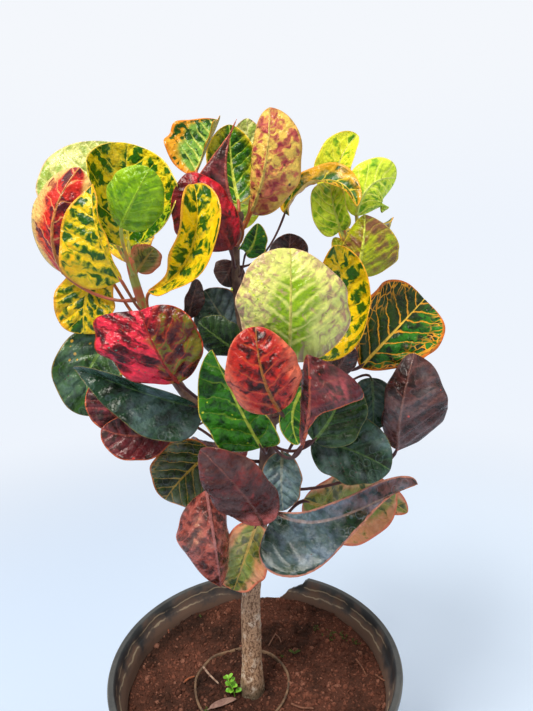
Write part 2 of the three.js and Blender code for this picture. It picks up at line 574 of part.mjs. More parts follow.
function soilBody() {
  const bottom = POT.floor + GAP;
  const points = [new THREE.Vector3(0, 0, bottom), new THREE.Vector3(0, 0, soilHeight(0, 0))];
  for (let j = 0; j < POT_SIDES; j += 1) {
    const angle = (2 * Math.PI * j) / POT_SIDES;
    const at = (radius, z) => new THREE.Vector3(radius * Math.cos(angle), radius * Math.sin(angle), z);
    points.push(at(potInside(bottom) - GAP, bottom));
    const height = (radius) => soilHeight(radius * Math.cos(angle), radius * Math.sin(angle));
    let edge = potInside(SOIL.middle) - GAP;
    for (let k = 0; k < 3; k += 1) edge = potInside(height(edge)) - GAP;
    for (let ring = SOIL.rings; ring > 0; ring -= 1) {
      const radius = (edge * ring) / SOIL.rings;
      points.push(at(radius, height(radius)));
    }
  }
  const column = SOIL.rings + 1;
  const faces = [];
  for (let j = 0; j < POT_SIDES; j += 1) {
    const here = 2 + j * column;
    const next = 2 + ((j + 1) % POT_SIDES) * column;
    faces.push([0, next, here]);
    for (let k = 0; k < column - 1; k += 1) {
      faces.push([here + k, next + k, next + k + 1], [here + k, next + k + 1, here + k + 1]);
    }
    faces.push([here + column - 1, next + column - 1, 1]);
  }
  return solidOf(meshOf(points, faces));
}

function soil() {
  const { points, radius, sides, steps } = STEMS.trunk;
  const deeper = points.map(V);
  deeper[0].z -= GAP;
  const trunkHole = tube(new THREE.CatmullRomCurve3(deeper, false, "centripetal"),
    (along) => THREE.MathUtils.lerp(radius[0], radius[1], along) + GAP * 1.2, sides, steps);
  const { root, stem, holeDepth } = SEEDLING;
  const rootHole = new THREE.CylinderGeometry(stem + 2 * GAP, stem + 2 * GAP, 2 * holeDepth, 6);
  rootHole.rotateX(Math.PI / 2).translate(root[0], root[1], root[2] + holeDepth - GAP);
  const holes = [trunkHole, nurseryRing(GAP), rootHole].map(solidOf);
  return geometryOf(holes.reduce((rest, hole) => rest.subtract(hole), soilBody()));
}

// A weed seedling that has come up beside the trunk: opposite pairs of round leaflets on one thin stalk
function weedSeedling() {
  const { root, top, stem, leaf, count, firstLeaf } = SEEDLING;
  const above = [root[0], root[1], SOIL.middle + 2];
  const curve = new THREE.CatmullRomCurve3([root, above, top].map(V));
  let solid = solidOf(tube(curve, () => stem, 4, 4));
  for (let i = 0; i < count; i += 1) {
    const rise = i / (count - 1);
    const height = THREE.MathUtils.lerp(firstLeaf, top[2], rise);
    const base = V(above).lerp(V(top), (height - above[2]) / (top[2] - above[2]));
    const turn = radians(i * GOLDEN_TURN);
    const reach = new THREE.Vector3(Math.cos(turn), Math.sin(turn), 0.35);
    reach.multiplyScalar(leaf * (1.5 - 0.4 * rise));
    const rib = [0, 0.5, 1].map((along) => base.clone().addScaledVector(reach, along).toArray());
    const { grid } = bladeGrid({ rib, face: [0, 0, 1], wide: [leaf, leaf], shape: [0.8, 0.4] }, 4, 1);
    solid = solid.add(solidOf(bladeSolid(grid, 0.7)));
  }
  return geometryOf(solid);
}

// A dead leaf that lies on the soil inside the ring
function dryLeaf() {
  const { from, to, width, arch, lift } = DRY_LEAF;
  const level = Math.max(soilHeight(...from), soilHeight(...to)) + lift;
  const middle = [(from[0] + to[0]) / 2, (from[1] + to[1]) / 2, level + arch];
  const leaf = {
    rib: [[...from, level], middle, [...to, level]], face: [0, 0, 1],
    wide: [width, width], shape: [0.7, 0.8], cup: -12,
  };
  const { grid } = bladeGrid(leaf, 8, 1);
  return bladeSolid(grid, LEAF.thickness);
}

// The plant in its pot -------------------------------------------------------------------
const potted = new THREE.Group();

function place(name, geometry, colour, roughness) {
  geometry.computeVertexNormals();
  const material = new THREE.MeshStandardMaterial({ color: COLOURS[colour], roughness, metalness: 0 });
  const mesh = new THREE.Mesh(geometry, material);
  mesh.name = name;
  potted.add(mesh);
}

place("pot", pot(), "potBlack", 0.6);
place("soil", soil(), "soil", 0.95);
place("nursery_ring", nurseryRing(), "ring", 0.7);
place("weed_seedling", weedSeedling(), "seedling", 0.5);
place("dry_leaf", dryLeaf(), "dryLeaf", 0.9);
place("stem", plantStem(), "bark", 0.85);
for (const leaf of LEAVES.filter(({ small }) => !small)) {
  place(`leaf_${leaf.name}`, geometryOf(leafSolid(leaf)), leaf.colour, 0.35);
}

export default potted;
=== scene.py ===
# A potted croton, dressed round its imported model: leaves, stem, pot and soil, for Blender 4.5.
# Metres in the scene. Lengths in the dictionaries below are millimetres unless a note says otherwise.
import json
import math
import re

import bpy
import numpy as np
from mathutils import Matrix, Vector


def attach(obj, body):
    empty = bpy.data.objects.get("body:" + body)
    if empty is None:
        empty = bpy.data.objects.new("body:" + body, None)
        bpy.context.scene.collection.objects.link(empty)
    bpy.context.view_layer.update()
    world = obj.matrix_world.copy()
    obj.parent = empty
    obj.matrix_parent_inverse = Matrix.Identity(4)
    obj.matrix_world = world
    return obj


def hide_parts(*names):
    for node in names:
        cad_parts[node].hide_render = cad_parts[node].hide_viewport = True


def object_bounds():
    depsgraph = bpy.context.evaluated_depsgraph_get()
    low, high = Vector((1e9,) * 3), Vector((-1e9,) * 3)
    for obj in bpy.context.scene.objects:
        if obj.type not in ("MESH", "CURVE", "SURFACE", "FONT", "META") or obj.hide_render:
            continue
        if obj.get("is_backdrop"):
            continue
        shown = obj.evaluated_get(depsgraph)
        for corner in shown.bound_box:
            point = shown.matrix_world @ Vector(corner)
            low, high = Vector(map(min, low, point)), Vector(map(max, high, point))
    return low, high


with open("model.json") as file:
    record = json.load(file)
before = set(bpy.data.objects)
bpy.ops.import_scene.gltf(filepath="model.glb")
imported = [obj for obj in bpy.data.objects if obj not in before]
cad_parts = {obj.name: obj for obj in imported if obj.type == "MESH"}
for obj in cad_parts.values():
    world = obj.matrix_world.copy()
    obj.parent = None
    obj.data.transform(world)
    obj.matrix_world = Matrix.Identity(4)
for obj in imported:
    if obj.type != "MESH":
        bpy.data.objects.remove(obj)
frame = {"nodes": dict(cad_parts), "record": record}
cadBounds = [list(corner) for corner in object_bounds()]
slotOf = {part["node"]: part["material_slot"] for part in frame["record"]["subparts"]}
mm = 0.001
black = [0, 0, 0, 1]
print("frame loaded:", len(frame["nodes"]), "nodes")


# small helpers
def linear(hexColour):
    channels = [int(hexColour[i:i + 2], 16) / 255 for i in (1, 3, 5)]
    return [c / 12.92 if c <= 0.04045 else ((c + 0.055) / 1.055) ** 2.4 for c in channels] + [1.0]


def unit(vectors):
    return vectors / np.maximum(np.linalg.norm(vectors, axis=-1, keepdims=True), 1e-12)


def smooth(low, high, value):
    t = np.clip((value - low) / (high - low), 0, 1)
    return t * t * (3 - 2 * t)


def pair(value):
    return value if isinstance(value, (list, tuple)) else [value, value]


def meshPiece(name, points, faces, materials=(), slots=None, attributes=None, edges=()):
    # points in millimetres; slots gives each face its material; attributes are per point
    mesh = bpy.data.meshes.new(name)
    mesh.from_pydata((np.asarray(points, float) * mm).tolist(), edges, faces)
    for material in materials:
        mesh.materials.append(material)
    if slots is not None:
        mesh.polygons.foreach_set("material_index", np.asarray(slots, np.int32))
    for key, values in (attributes or {}).items():
        values = np.asarray(values, np.float32)
        kind, field = ("FLOAT", "value") if values.ndim == 1 else ("FLOAT_VECTOR", "vector")
        mesh.attributes.new(key, kind, "POINT").data.foreach_set(field, values.ravel())
    mesh.shade_smooth()
    mesh.update()
    piece = bpy.data.objects.new(name, mesh)
    bpy.context.scene.collection.objects.link(piece)
    return piece


def settle(piece, slot, *nodes):
    # every piece rides on the one body, and stands for its CAD node
    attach(piece, "root")
    if nodes:
        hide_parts(*nodes)


# node helpers
class Wire:
    # a node's output that can stand in a sum: the sum makes a Math node in the same tree
    def __init__(self, socket):
        self.socket, self.tree = socket, socket.id_data

    def __abs__(self):
        return calc("ABSOLUTE", self)


for sign, operation in (("add", "ADD"), ("sub", "SUBTRACT"), ("mul", "MULTIPLY"), ("truediv", "DIVIDE")):
    setattr(Wire, f"__{sign}__", lambda a, b, operation=operation: calc(operation, a, b))
    setattr(Wire, f"__r{sign}__", lambda a, b, operation=operation: calc(operation, b, a))


def feed(made, inputs):
    # links wires into a node's inputs and sets the others, with colours given as hex
    for key, value in inputs.items():
        if isinstance(value, Wire):
            value.tree.links.new(value.socket, made.inputs[key])
        else:
            made.inputs[key].default_value = linear(value) if str(value).startswith("#") else value


def node(tree, kind, inputs=None, **settings):
    made = tree.nodes.new(kind)
    for key, value in settings.items():
        setattr(made, key, value)
    feed(made, inputs or {})
    return made


def wire(tree, kind, inputs=None, key=0, **settings):
    return Wire(node(tree, kind, inputs, **settings).outputs[key])


def wires(outputs):
    return {output.name: Wire(output) for output in outputs}


def calc(operation, a, b=0.0, clamp=False):
    tree = (a if isinstance(a, Wire) else b).tree
    return wire(tree, "ShaderNodeMath", {0: a, 1: b}, operation=operation, use_clamp=clamp)


def mixColour(mask, a, b):
    tree = next(value.tree for value in (mask, a, b) if isinstance(value, Wire))
    return wire(tree, "ShaderNodeMix", {0: mask, 6: a, 7: b}, key=2, data_type="RGBA")


def rise(value, low, high, start=0.0, end=1.0):
    inputs = {"Value": value, "From Min": low, "From Max": high, "To Min": start, "To Max": end}
    return wire(value.tree, "ShaderNodeMapRange", inputs, interpolation_type="SMOOTHSTEP")


def noise(vector, scale, detail=2.0, rough=0.5):
    inputs = {"Vector": vector, "Scale": scale, "Detail": detail, "Roughness": rough}
    return wire(vector.tree, "ShaderNodeTexNoise", inputs)


def xyz(vector):
    return [Wire(output) for output in node(vector.tree, "ShaderNodeSeparateXYZ", {0: vector}).outputs]


def vectorMath(operation, vector, inputs):
    return wire(vector.tree, "ShaderNodeVectorMath", {0: vector, **inputs}, operation=operation)


def attribute(tree, name, key):
    return wire(tree, "ShaderNodeAttribute", key=key, attribute_name=name)


def reachOf(x, y):
    return calc("SQRT", x * x + y * y)


def newMaterial(name):
    material = bpy.data.materials.new(name)
    material.use_nodes = True
    tree = material.node_tree
    tree.nodes.clear()
    shader = tree.nodes.new("ShaderNodeBsdfPrincipled")
    output = tree.nodes.new("ShaderNodeOutputMaterial")
    tree.links.new(shader.outputs[0], output.inputs["Surface"])
    return material, tree, shader


def paintedMaterial(name):
    # a new material, with its shader and the place on the piece
    material, tree, shader = newMaterial(name)
    return material, shader, wire(tree, "ShaderNodeTexCoord", key="Object")


def finishSkin(shader, colour, roughness, height, strength, distance):
    bump = wire(height.tree, "ShaderNodeBump", {"Height": height, "Strength": strength, "Distance": distance})
    feed(shader, {"Base Color": colour, "Roughness": roughness, "Normal": bump})


# the croton's leaf pattern
# leafPlace: centimetres across and along the blade, and a number that differs from leaf to leaf
# leafVein: side veins counted up the blade, then 0 at the midrib to 1 at the margin, then 0 at the foot
# to 1 at the tip. leafEdge: millimetres to the margin
patternColours = {
    "Ground": "#e8c020", "Second": "#e08a20", "Patch": "#2f7a2a", "Vein": "#f0d040", "Rim": "#e0a040",
    "Fleck": "#f0d040", "Bloom": "#9fb4c0", "Midrib": "#e8c860", "Fringe": "#a0a020",
}
patternNumbers = {
    "Second Side": 0.0, "Second Offset": 0.0, "Second Foot": 0.0, "Second Edge": 0.0, "Second Scatter": 1.2,
    "Patch Amount": 0.5, "Patch Edge": 0.0, "Patch Foot": 0.0, "Patch Size": 1.0, "Patch Soft": 0.12,
    "Halo": 0.0, "Patch Rows": 0.08, "Vein Width": 0.12, "Vein Reach": 1.0, "Vein Amount": 1.0, "Net": 0.0,
    "Rim Width": 1.2, "Flecks": 0.0, "Bloom Amount": 0.0, "Midrib Amount": 1.0, "Shade": 0.45,
}


def crotonPattern():
    group = bpy.data.node_groups.new("crotonPattern", "ShaderNodeTree")
    colours = {key: ("NodeSocketColor", linear(value)) for key, value in patternColours.items()}
    numbers = {key: ("NodeSocketFloat", value) for key, value in patternNumbers.items()}
    for key, (kind, start) in {**colours, **numbers}.items():
        group.interface.new_socket(name=key, in_out="INPUT", socket_type=kind).default_value = start
    for key, kind in (("Color", "Color"), ("Height", "Float"), ("Dull", "Float")):
        group.interface.new_socket(name=key, in_out="OUTPUT", socket_type="NodeSocket" + kind)
    value = wires(group.nodes.new("NodeGroupInput").outputs)
    place = attribute(group, "leafPlace", "Vector")
    edge = attribute(group, "leafEdge", "Fac")
    veinCount, across, fromFoot = xyz(attribute(group, "leafVein", "Vector"))
    x, y, own = xyz(place)
    fromTip = 1.0 - fromFoot
    outward = abs(x)
    broad, fine = noise(place, 0.45, 2.0, 0.5), noise(place, 2.6, 4.0, 0.65)
    pebble = noise(place, 2.4, 2.0, 0.5)

    # the whole pattern wanders a little, as nothing on a leaf is ruled
    phase = veinCount + (noise(place, 0.7, 2.0, 0.5) - 0.5) * 1.1
    fromVein = 1.0 - abs(calc("FRACT", phase) * 2.0 - 1.0)
    cells = wire(group, "ShaderNodeCombineXYZ", {0: phase, 1: x * 0.9, 2: own * 9.0})

    # second colour: by place on the blade, broken up by noise
    lean = value["Second Offset"] + (value["Second Foot"] * fromTip + value["Second Edge"] * across)
    lean = lean + value["Second Scatter"] * (broad - 0.5)
    lean = lean + rise(x, -2.2, 2.2, -1.0, 1.0) * value["Second Side"] + (fine - 0.5) * 0.5
    colour = mixColour(rise(lean, 0.25, 0.75), value["Ground"], value["Second"])

    # patches between the side veins, ragged at their edges, with the fringe colour round them
    alongVein, acrossVein = outward * 0.77 + y * 0.64, y * 0.77 - outward * 0.64
    bend = (noise(place, 1.4, 1.0, 0.5) - 0.5) * 1.6
    sided = own + calc("SIGN", x) * 3.7
    streaks = wire(group, "ShaderNodeCombineXYZ", {0: alongVein * 0.8, 1: acrossVein + bend, 2: sided})
    islands = noise(streaks, 1.3 / value["Patch Size"], 2.0, 0.55)
    rag = (noise(place, 5.0, 3.0, 0.7) - 0.5) * 0.2
    keep = value["Patch Edge"] * across + value["Patch Foot"] * fromTip
    level = islands + rag + (rise(fromVein, 0.05, 0.8) - 1.0) * value["Patch Rows"] + keep
    bar = 0.74 - value["Patch Amount"] * 0.46
    colour = mixColour(rise(level, bar - 0.12, bar - 0.01) * value["Halo"], colour, value["Fringe"])
    shaded = mixColour(rise(fine, 0.3, 0.75) * 0.6, value["Patch"], mixColour(0.55, value["Patch"], black))
    colour = mixColour(rise(level, bar - value["Patch Soft"], bar + value["Patch Soft"]), colour, shaded)

    # side veins, narrowing towards the margin, and the finer net between them
    width = value["Vein Width"] * (1.25 - across) * rise(noise(place, 3.0, 2.0, 0.6), 0.2, 0.8, 0.6, 1.5)
    sideVein = rise(fromVein, width * 1.25, width * 0.1)
    reach = rise(across, value["Vein Reach"] + 0.05, value["Vein Reach"] - 0.25)
    net = wire(group, "ShaderNodeTexVoronoi", {"Vector": cells, "Scale": 2.1, "Randomness": 0.9}, "Distance",
               feature="DISTANCE_TO_EDGE")
    netMask = rise(net, 0.10, 0.03) * rise(across + (value["Net"] - 1.0), 0.0, 0.5)
    veinMask = calc("MAXIMUM", sideVein * reach * value["Vein Amount"], netMask)
    colour = mixColour(veinMask, colour, value["Vein"])

    # midrib, in millimetres
    ribWidth = rise(fromFoot, 0.0, 1.0, 1.5, 0.5)
    midrib = rise(outward * 10.0, ribWidth * 1.2, ribWidth * 0.5) * value["Midrib Amount"]
    colour = mixColour(midrib, colour, value["Midrib"])

    # bright flecks, dried water rings with a painted sheen of sky reflection, and the margin
    specks = wires(node(group, "ShaderNodeTexVoronoi", {"Vector": place, "Scale": 1.7}).outputs)
    chance = wire(group, "ShaderNodeSeparateColor", {0: specks["Color"]})
    speck = rise(specks["Distance"], 0.20, 0.12) * rise(chance, 1.0 - value["Flecks"], 1.02 - value["Flecks"])
    colour = mixColour(speck, colour, value["Fleck"])
    # dried water marks in rings, and broad pale patches that are a painted reflection of the sky, a bluish
    # sheen
    drops = wire(group, "ShaderNodeTexVoronoi", {"Vector": place, "Scale": 1.3}, "Distance")
    ringMark = rise(drops, 0.34, 0.40) * rise(drops, 0.48, 0.42)
    film = rise(broad, 0.38, 0.70) * rise(fine, 0.20, 0.8, 0.3, 1.0)
    bloom = calc("MAXIMUM", ringMark * 0.35, film) * value["Bloom Amount"]
    colour = mixColour(bloom, colour, value["Bloom"])
    rim = rise(edge + (fine - 0.5) * 2.2, value["Rim Width"], value["Rim Width"] * 0.45)
    colour = mixColour(rim, colour, value["Rim"])

    # painted light and shade over the blade: lighter and darker with the broad noise and with the pebbly bumps
    lights = broad - 0.5 + (pebble - 0.5) * 1.3
    tone = wire(group, "ShaderNodeHueSaturation", {"Color": colour, "Value": 1.0 + value["Shade"] * lights})
    height = fine * 0.25 + pebble * 1.3 - rise(fromVein, 0.6, 0.0) * 0.35
    dull = bloom * 0.45 + (fine - 0.5) * 0.18
    feed(group.nodes.new("NodeGroupOutput"), {"Color": tone, "Height": height, "Dull": dull})
    return group


pattern = crotonPattern()


def look(colours, **others):
    # the ground, second, patch, vein, rim and midrib colours; what is left out stays as in the pattern
    six = zip(("Ground", "Second", "Patch", "Vein", "Rim", "Midrib"), colours.split())
    spaced = {re.sub("([A-Z])", r" \1", key).title(): value for key, value in others.items()}
    return {**{key: "#" + value for key, value in six}, **spaced}


leafLooks = {
    "yellowPatch": look("f0c414 e49014 2c5c10 f2cc1c eaa828 ecc828", fringe="#8c9a10", patchEdge=-0.08,
                        patchSoft=0.05, secondEdge=0.3, halo=0.85, veinWidth=0.14, patchSize=0.85,
                        rimWidth=2.0, shade=0.3, patchAmount=0.62, patchRows=0.14),
    "yellowCup": look("f0d01c 84b41c 2f6a10 ecd82c f4d458 dcd040", fringe="#b4b81c", patchAmount=0.52,
                      patchSoft=0.05, patchSize=0.95, halo=0.7, secondFoot=1.1, secondSide=0.55,
                      secondEdge=-0.2, secondOffset=-0.6, secondScatter=1.6, rimWidth=2.2, patchFoot=0.05),
    "yellowUnder": look("d8c020 d8902a 8fa01e dccf50 e0b44c dccf6c", patchAmount=0.35, patchSoft=0.15),
    "limePale": look("dcdc80 a8c874 a4bc4c e8e898 e0bc88 dcd890", veinWidth=0.2, secondScatter=2.2),
    "limeFresh": look("dcf03c a8d830 6cac1c ecf468 ece45c dce86c", fringe="#a4cc28", patchAmount=0.42,
                      veinWidth=0.22, halo=0.5),
    "limePink": look("e2e478 8cae18 c09878 e4e27c e4c094 ccc45c", patchAmount=0.12, patchEdge=0.26,
                     patchSoft=0.16, patchSize=0.55, secondFoot=0.55, secondEdge=-1.2, secondOffset=0.65,
                     secondScatter=1.8, veinWidth=0.3, veinReach=0.85, veinAmount=0.7),
    "limeYellow": look("e8ea38 bcd428 5c9c14 ecec5c f0d448 e4dc74", fringe="#a8c420", patchAmount=0.4,
                       patchEdge=-0.1, patchSoft=0.08, halo=0.6),
    "oliveMauve": look("a8b418 86a418 8c5c38 d8d838 d8bc3c ccd44c", fringe="#a8a01c", patchAmount=0.4,
                       patchEdge=0.12, patchSoft=0.14, patchSize=2.0, secondSide=0.2, halo=0.6,
                       veinWidth=0.22, veinAmount=0.2, rimWidth=2.4),
    "greenFresh": look("7ca808 94bc10 54880a 9cc028 a8c838 a4c430", patchAmount=0.4, patchSoft=0.2,
                       veinAmount=0.4, rimWidth=0.6, midribAmount=0.6, secondEdge=0.8),
    "greenYellowRim": look("3c7408 c4b820 1e4c0c a8b82c e8c030 ccd650", secondEdge=1.0, secondOffset=-0.15,
                           rimWidth=1.8),
    "archYellow": look("3a6c0c e4a81c 1e4c0c d8c030 e8a428 d8b83c", patchAmount=0.45, secondEdge=1.1,
                       secondOffset=0.05, secondScatter=1.8, rimWidth=1.8),
    "greenVeined": look("3a7c1c 24541a 1c4412 8ca82c ccb43c bcc848", fleck="#dce038", patchAmount=0.45,
                        veinWidth=0.16, veinAmount=0.55, flecks=0.22, rimWidth=0.9, shade=0.7),
    "greenDeep": look("26400f 1d340c 152a0c 3c6420 62683a 6f8c40", bloom="#9ab0b0", veinAmount=0.6,
                      bloomAmount=0.1, rimWidth=0.7, midribAmount=0.7, shade=0.8),
    "darkGreen": look("24442a 365a34 142612 3c5c38 6a6438 5a7a40", bloom="#b0c8d4", veinAmount=0.5,
                      bloomAmount=0.26, rimWidth=0.6, midribAmount=0.7, shade=0.7),
    "darkYellowDots": look("34581c 243f12 1c3410 507030 8a7430 6c8a3c", fleck="#e8ac20", bloom="#a4bcbc",
                           veinAmount=0.45, flecks=0.5, bloomAmount=0.25, rimWidth=0.9, shade=0.7),
    "darkVeined": look("263c0c 2c7418 16280a e89c20 dc7420 ecc044", patchSoft=0.1, secondSide=1.2,
                       secondFoot=0.4, veinWidth=0.17, net=0.6, rimWidth=3.0, shade=0.3),
    "darkFine": look("34480f 4c5c24 1c280c a88430 c87434 b8902c", bloom="#b8b0a4", veinWidth=0.16, net=0.4,
                     rimWidth=2.2, bloomAmount=0.3, shade=0.9),
    "orangeGreen": look("e0986c 7c8c34 3c5420 c49c4c e07c5c bc9c48", fringe="#94842e", bloom="#c4b0a8",
                        patchAmount=0.56, patchEdge=-0.2, patchSoft=0.06, patchSize=1.3, halo=0.6,
                        veinAmount=0.5, rimWidth=2.6, secondEdge=-1.5, secondOffset=1.3, bloomAmount=0.3),
    "orangeMint": look("7ca840 e8a01c 22540e c8d060 e88a1e dcdc70", patchEdge=0.1, patchFoot=-0.1,
                       patchSize=0.8, patchSoft=0.06, secondEdge=2.2, secondOffset=-0.95, veinWidth=0.3,
                       veinReach=0.6, rimWidth=3.0),
    "brownUnder": look("8a5220 b06a24 4c2c10 a86c2c c07c2c b0602c", patchSoft=0.15),
    "pinkYellow": look("e4bc54 cc6c50 ac3844 d8b850 e8b058 d0b058", fringe="#c8704c", fleck="#64402c",
                       patchAmount=0.47, patchEdge=-0.04, patchSize=0.9, halo=0.8, secondScatter=2.4,
                       veinAmount=0.4, rimWidth=2.4, flecks=0.4, secondOffset=0.3),
    "redPurple": look("d42c20 ecb868 5a1420 e09058 f0c878 d88848", fringe="#a8201c", patchAmount=0.54,
                      patchEdge=-0.2, patchSoft=0.08, halo=0.7, secondEdge=1.6, secondOffset=-0.4,
                      patchSize=1.2, rimWidth=3.2),
    "crimson": look("b42820 d8684c 2a0c08 c8542c e07058 b87430", fringe="#7c1414", patchAmount=0.56,
                    patchEdge=-0.25, patchFoot=0.05, patchSoft=0.13, patchSize=0.9, halo=0.8, secondFoot=0.3,
                    secondOffset=-0.6, veinWidth=0.16, veinReach=0.7, veinAmount=0.6, rimWidth=1.4,
                    midribAmount=0.6, shade=0.7, secondEdge=1.3),
    "crimsonOlive": look("e02c44 6e6418 3c0c14 b83828 bc4024 9c2820", fringe="#8c1820", patchAmount=0.48,
                         patchSize=1.2, halo=0.8, secondSide=-1.0, secondFoot=0.9, secondEdge=-0.2,
                         secondOffset=0.15, secondScatter=2.2, veinWidth=0.14, veinAmount=0.5, shade=0.7),
    "crimsonMaroon": look("742024 d4142c 3a100c 7a2428 c03834 8a2c28", patchAmount=0.45, patchSoft=0.14,
                          secondSide=-0.9, secondScatter=1.8, veinAmount=0.5, shade=0.7),
    "maroonRed": look("6c242a b03440 34120c 86382c c05c38 9a4838", fleck="#d4382c", bloom="#b8a4a0",
                      veinAmount=0.5, flecks=0.05, bloomAmount=0.14, secondScatter=2.8, shade=0.7),
    "purpleGrey": look("542c28 40201c 2a1410 683c38 7c4c40 785048", bloom="#b8b0b4", fleck="#c84030",
                       veinAmount=0.6, veinWidth=0.14, bloomAmount=0.22, flecks=0.06, rimWidth=0.8,
                       shade=0.5),
    "purpleRed": look("421814 c8645c 6c1c18 58302c 703c34 6a3830", bloom="#b4a8a8", secondScatter=0.8,
                      patchSize=1.3, patchAmount=0.4, veinAmount=0.3, veinWidth=0.1, bloomAmount=0.12,
                      shade=0.8, secondFoot=2.8, secondOffset=-1.85),
    "redBrown": look("a04c40 c08858 44180f a85c50 cc6c50 a0605c", bloom="#d0bcb8", fringe="#782c28", halo=0.6,
                     secondScatter=2.4, veinWidth=0.14, veinAmount=0.6, bloomAmount=0.14, rimWidth=1.6,
                     shade=0.8, patchAmount=0.56),
    "greyGreen": look("445c48 2c5228 1a2818 4c5c48 a07050 7a7a5c", bloom="#a8bccc", veinAmount=0.4,
                      bloomAmount=0.5, shade=0.8),
    "greyTail": look("16300f 6a4440 0e1c0c 46503c bc7c68 8a6c5c", bloom="#a8c0d8", secondFoot=-1.6,
                     secondOffset=1.25, veinAmount=0.4, bloomAmount=0.38, rimWidth=1.8, shade=0.7),
}
leafGloss = {"roughness": 0.26, "specular": 0.22, "coat": 0.14, "coatRoughness": 0.12, "bump": 1.0,
             "bumpDepth": 0.0016}
stalkLooks = {  # leaf stalks: skin, and the side away from the light
    "red": ["#c8583c", "#a8683c"], "green": ["#b0bc54", "#d07444"], "dark": ["#4a2026", "#5c3028"],
    "orange": ["#d07030", "#b8582c"],
}


def leafMaterial(name, values):
    material, tree, shader = newMaterial("leaf_" + name)
    face = wires(node(tree, "ShaderNodeGroup", values, node_tree=pattern).outputs)
    roughness = calc("ADD", face["Dull"], leafGloss["roughness"], clamp=True)
    finishSkin(shader, face["Color"], roughness, face["Height"], leafGloss["bump"], leafGloss["bumpDepth"])
    feed(shader, {"Specular IOR Level": leafGloss["specular"], "Coat Weight": leafGloss["coat"],
                  "Coat Roughness": leafGloss["coatRoughness"]})
    return material


def stalkMaterial(name, skin, blush):
    material, shader, place = paintedMaterial("stalk_" + name)
    colour = mixColour(rise(noise(place, 90.0, 3.0, 0.6), 0.35, 0.65), skin, blush)
    streak = noise(place, 900.0, 3.0, 0.6)
    finishSkin(shader, colour, rise(streak, 0.2, 0.8, 0.32, 0.55), streak, 0.3, 0.0003)
    return material


leafFaces = {name: leafMaterial(name, values) for name, values in leafLooks.items()}
stalkFaces = {name: stalkMaterial(name, *colours) for name, colours in stalkLooks.items()}
print("leaf looks:", len(leafFaces))


# leaves
# stem and at: the stem that bears the leaf, and the height there. upper, under and stalk: looks.
# rib: the midrib from the blade's foot to its tip, by 3 or 4 points. face and faceTip: which way the upper
# side looks at the foot and at the tip. wide: twice the half-width left and right of the rib, seen on the
# upper side with the tip up. shape: how blunt the foot and the tip are, for both halves or for each.
# cup: how far each half curls up, and fold: how far it is folded up at the rib, in degrees. lobe: how far
# each half reaches back past the foot. slant: how far it leans back. quilt: how far the blade swells between
# its side veins, wave: how far its margin waves, and pairs: how many side veins each half has.
def leaf(name, stem, at, upper, under, rib, face, wide, shape=(0.5, 0.6), cup=20, fold=0, lobe=0, slant=0,
         quilt=0.5, wave=1, pairs=6, stalk="dark", faceTip=None, small=False):
    row = dict(locals())
    row["faceTip"] = face if faceTip is None else faceTip
    return row


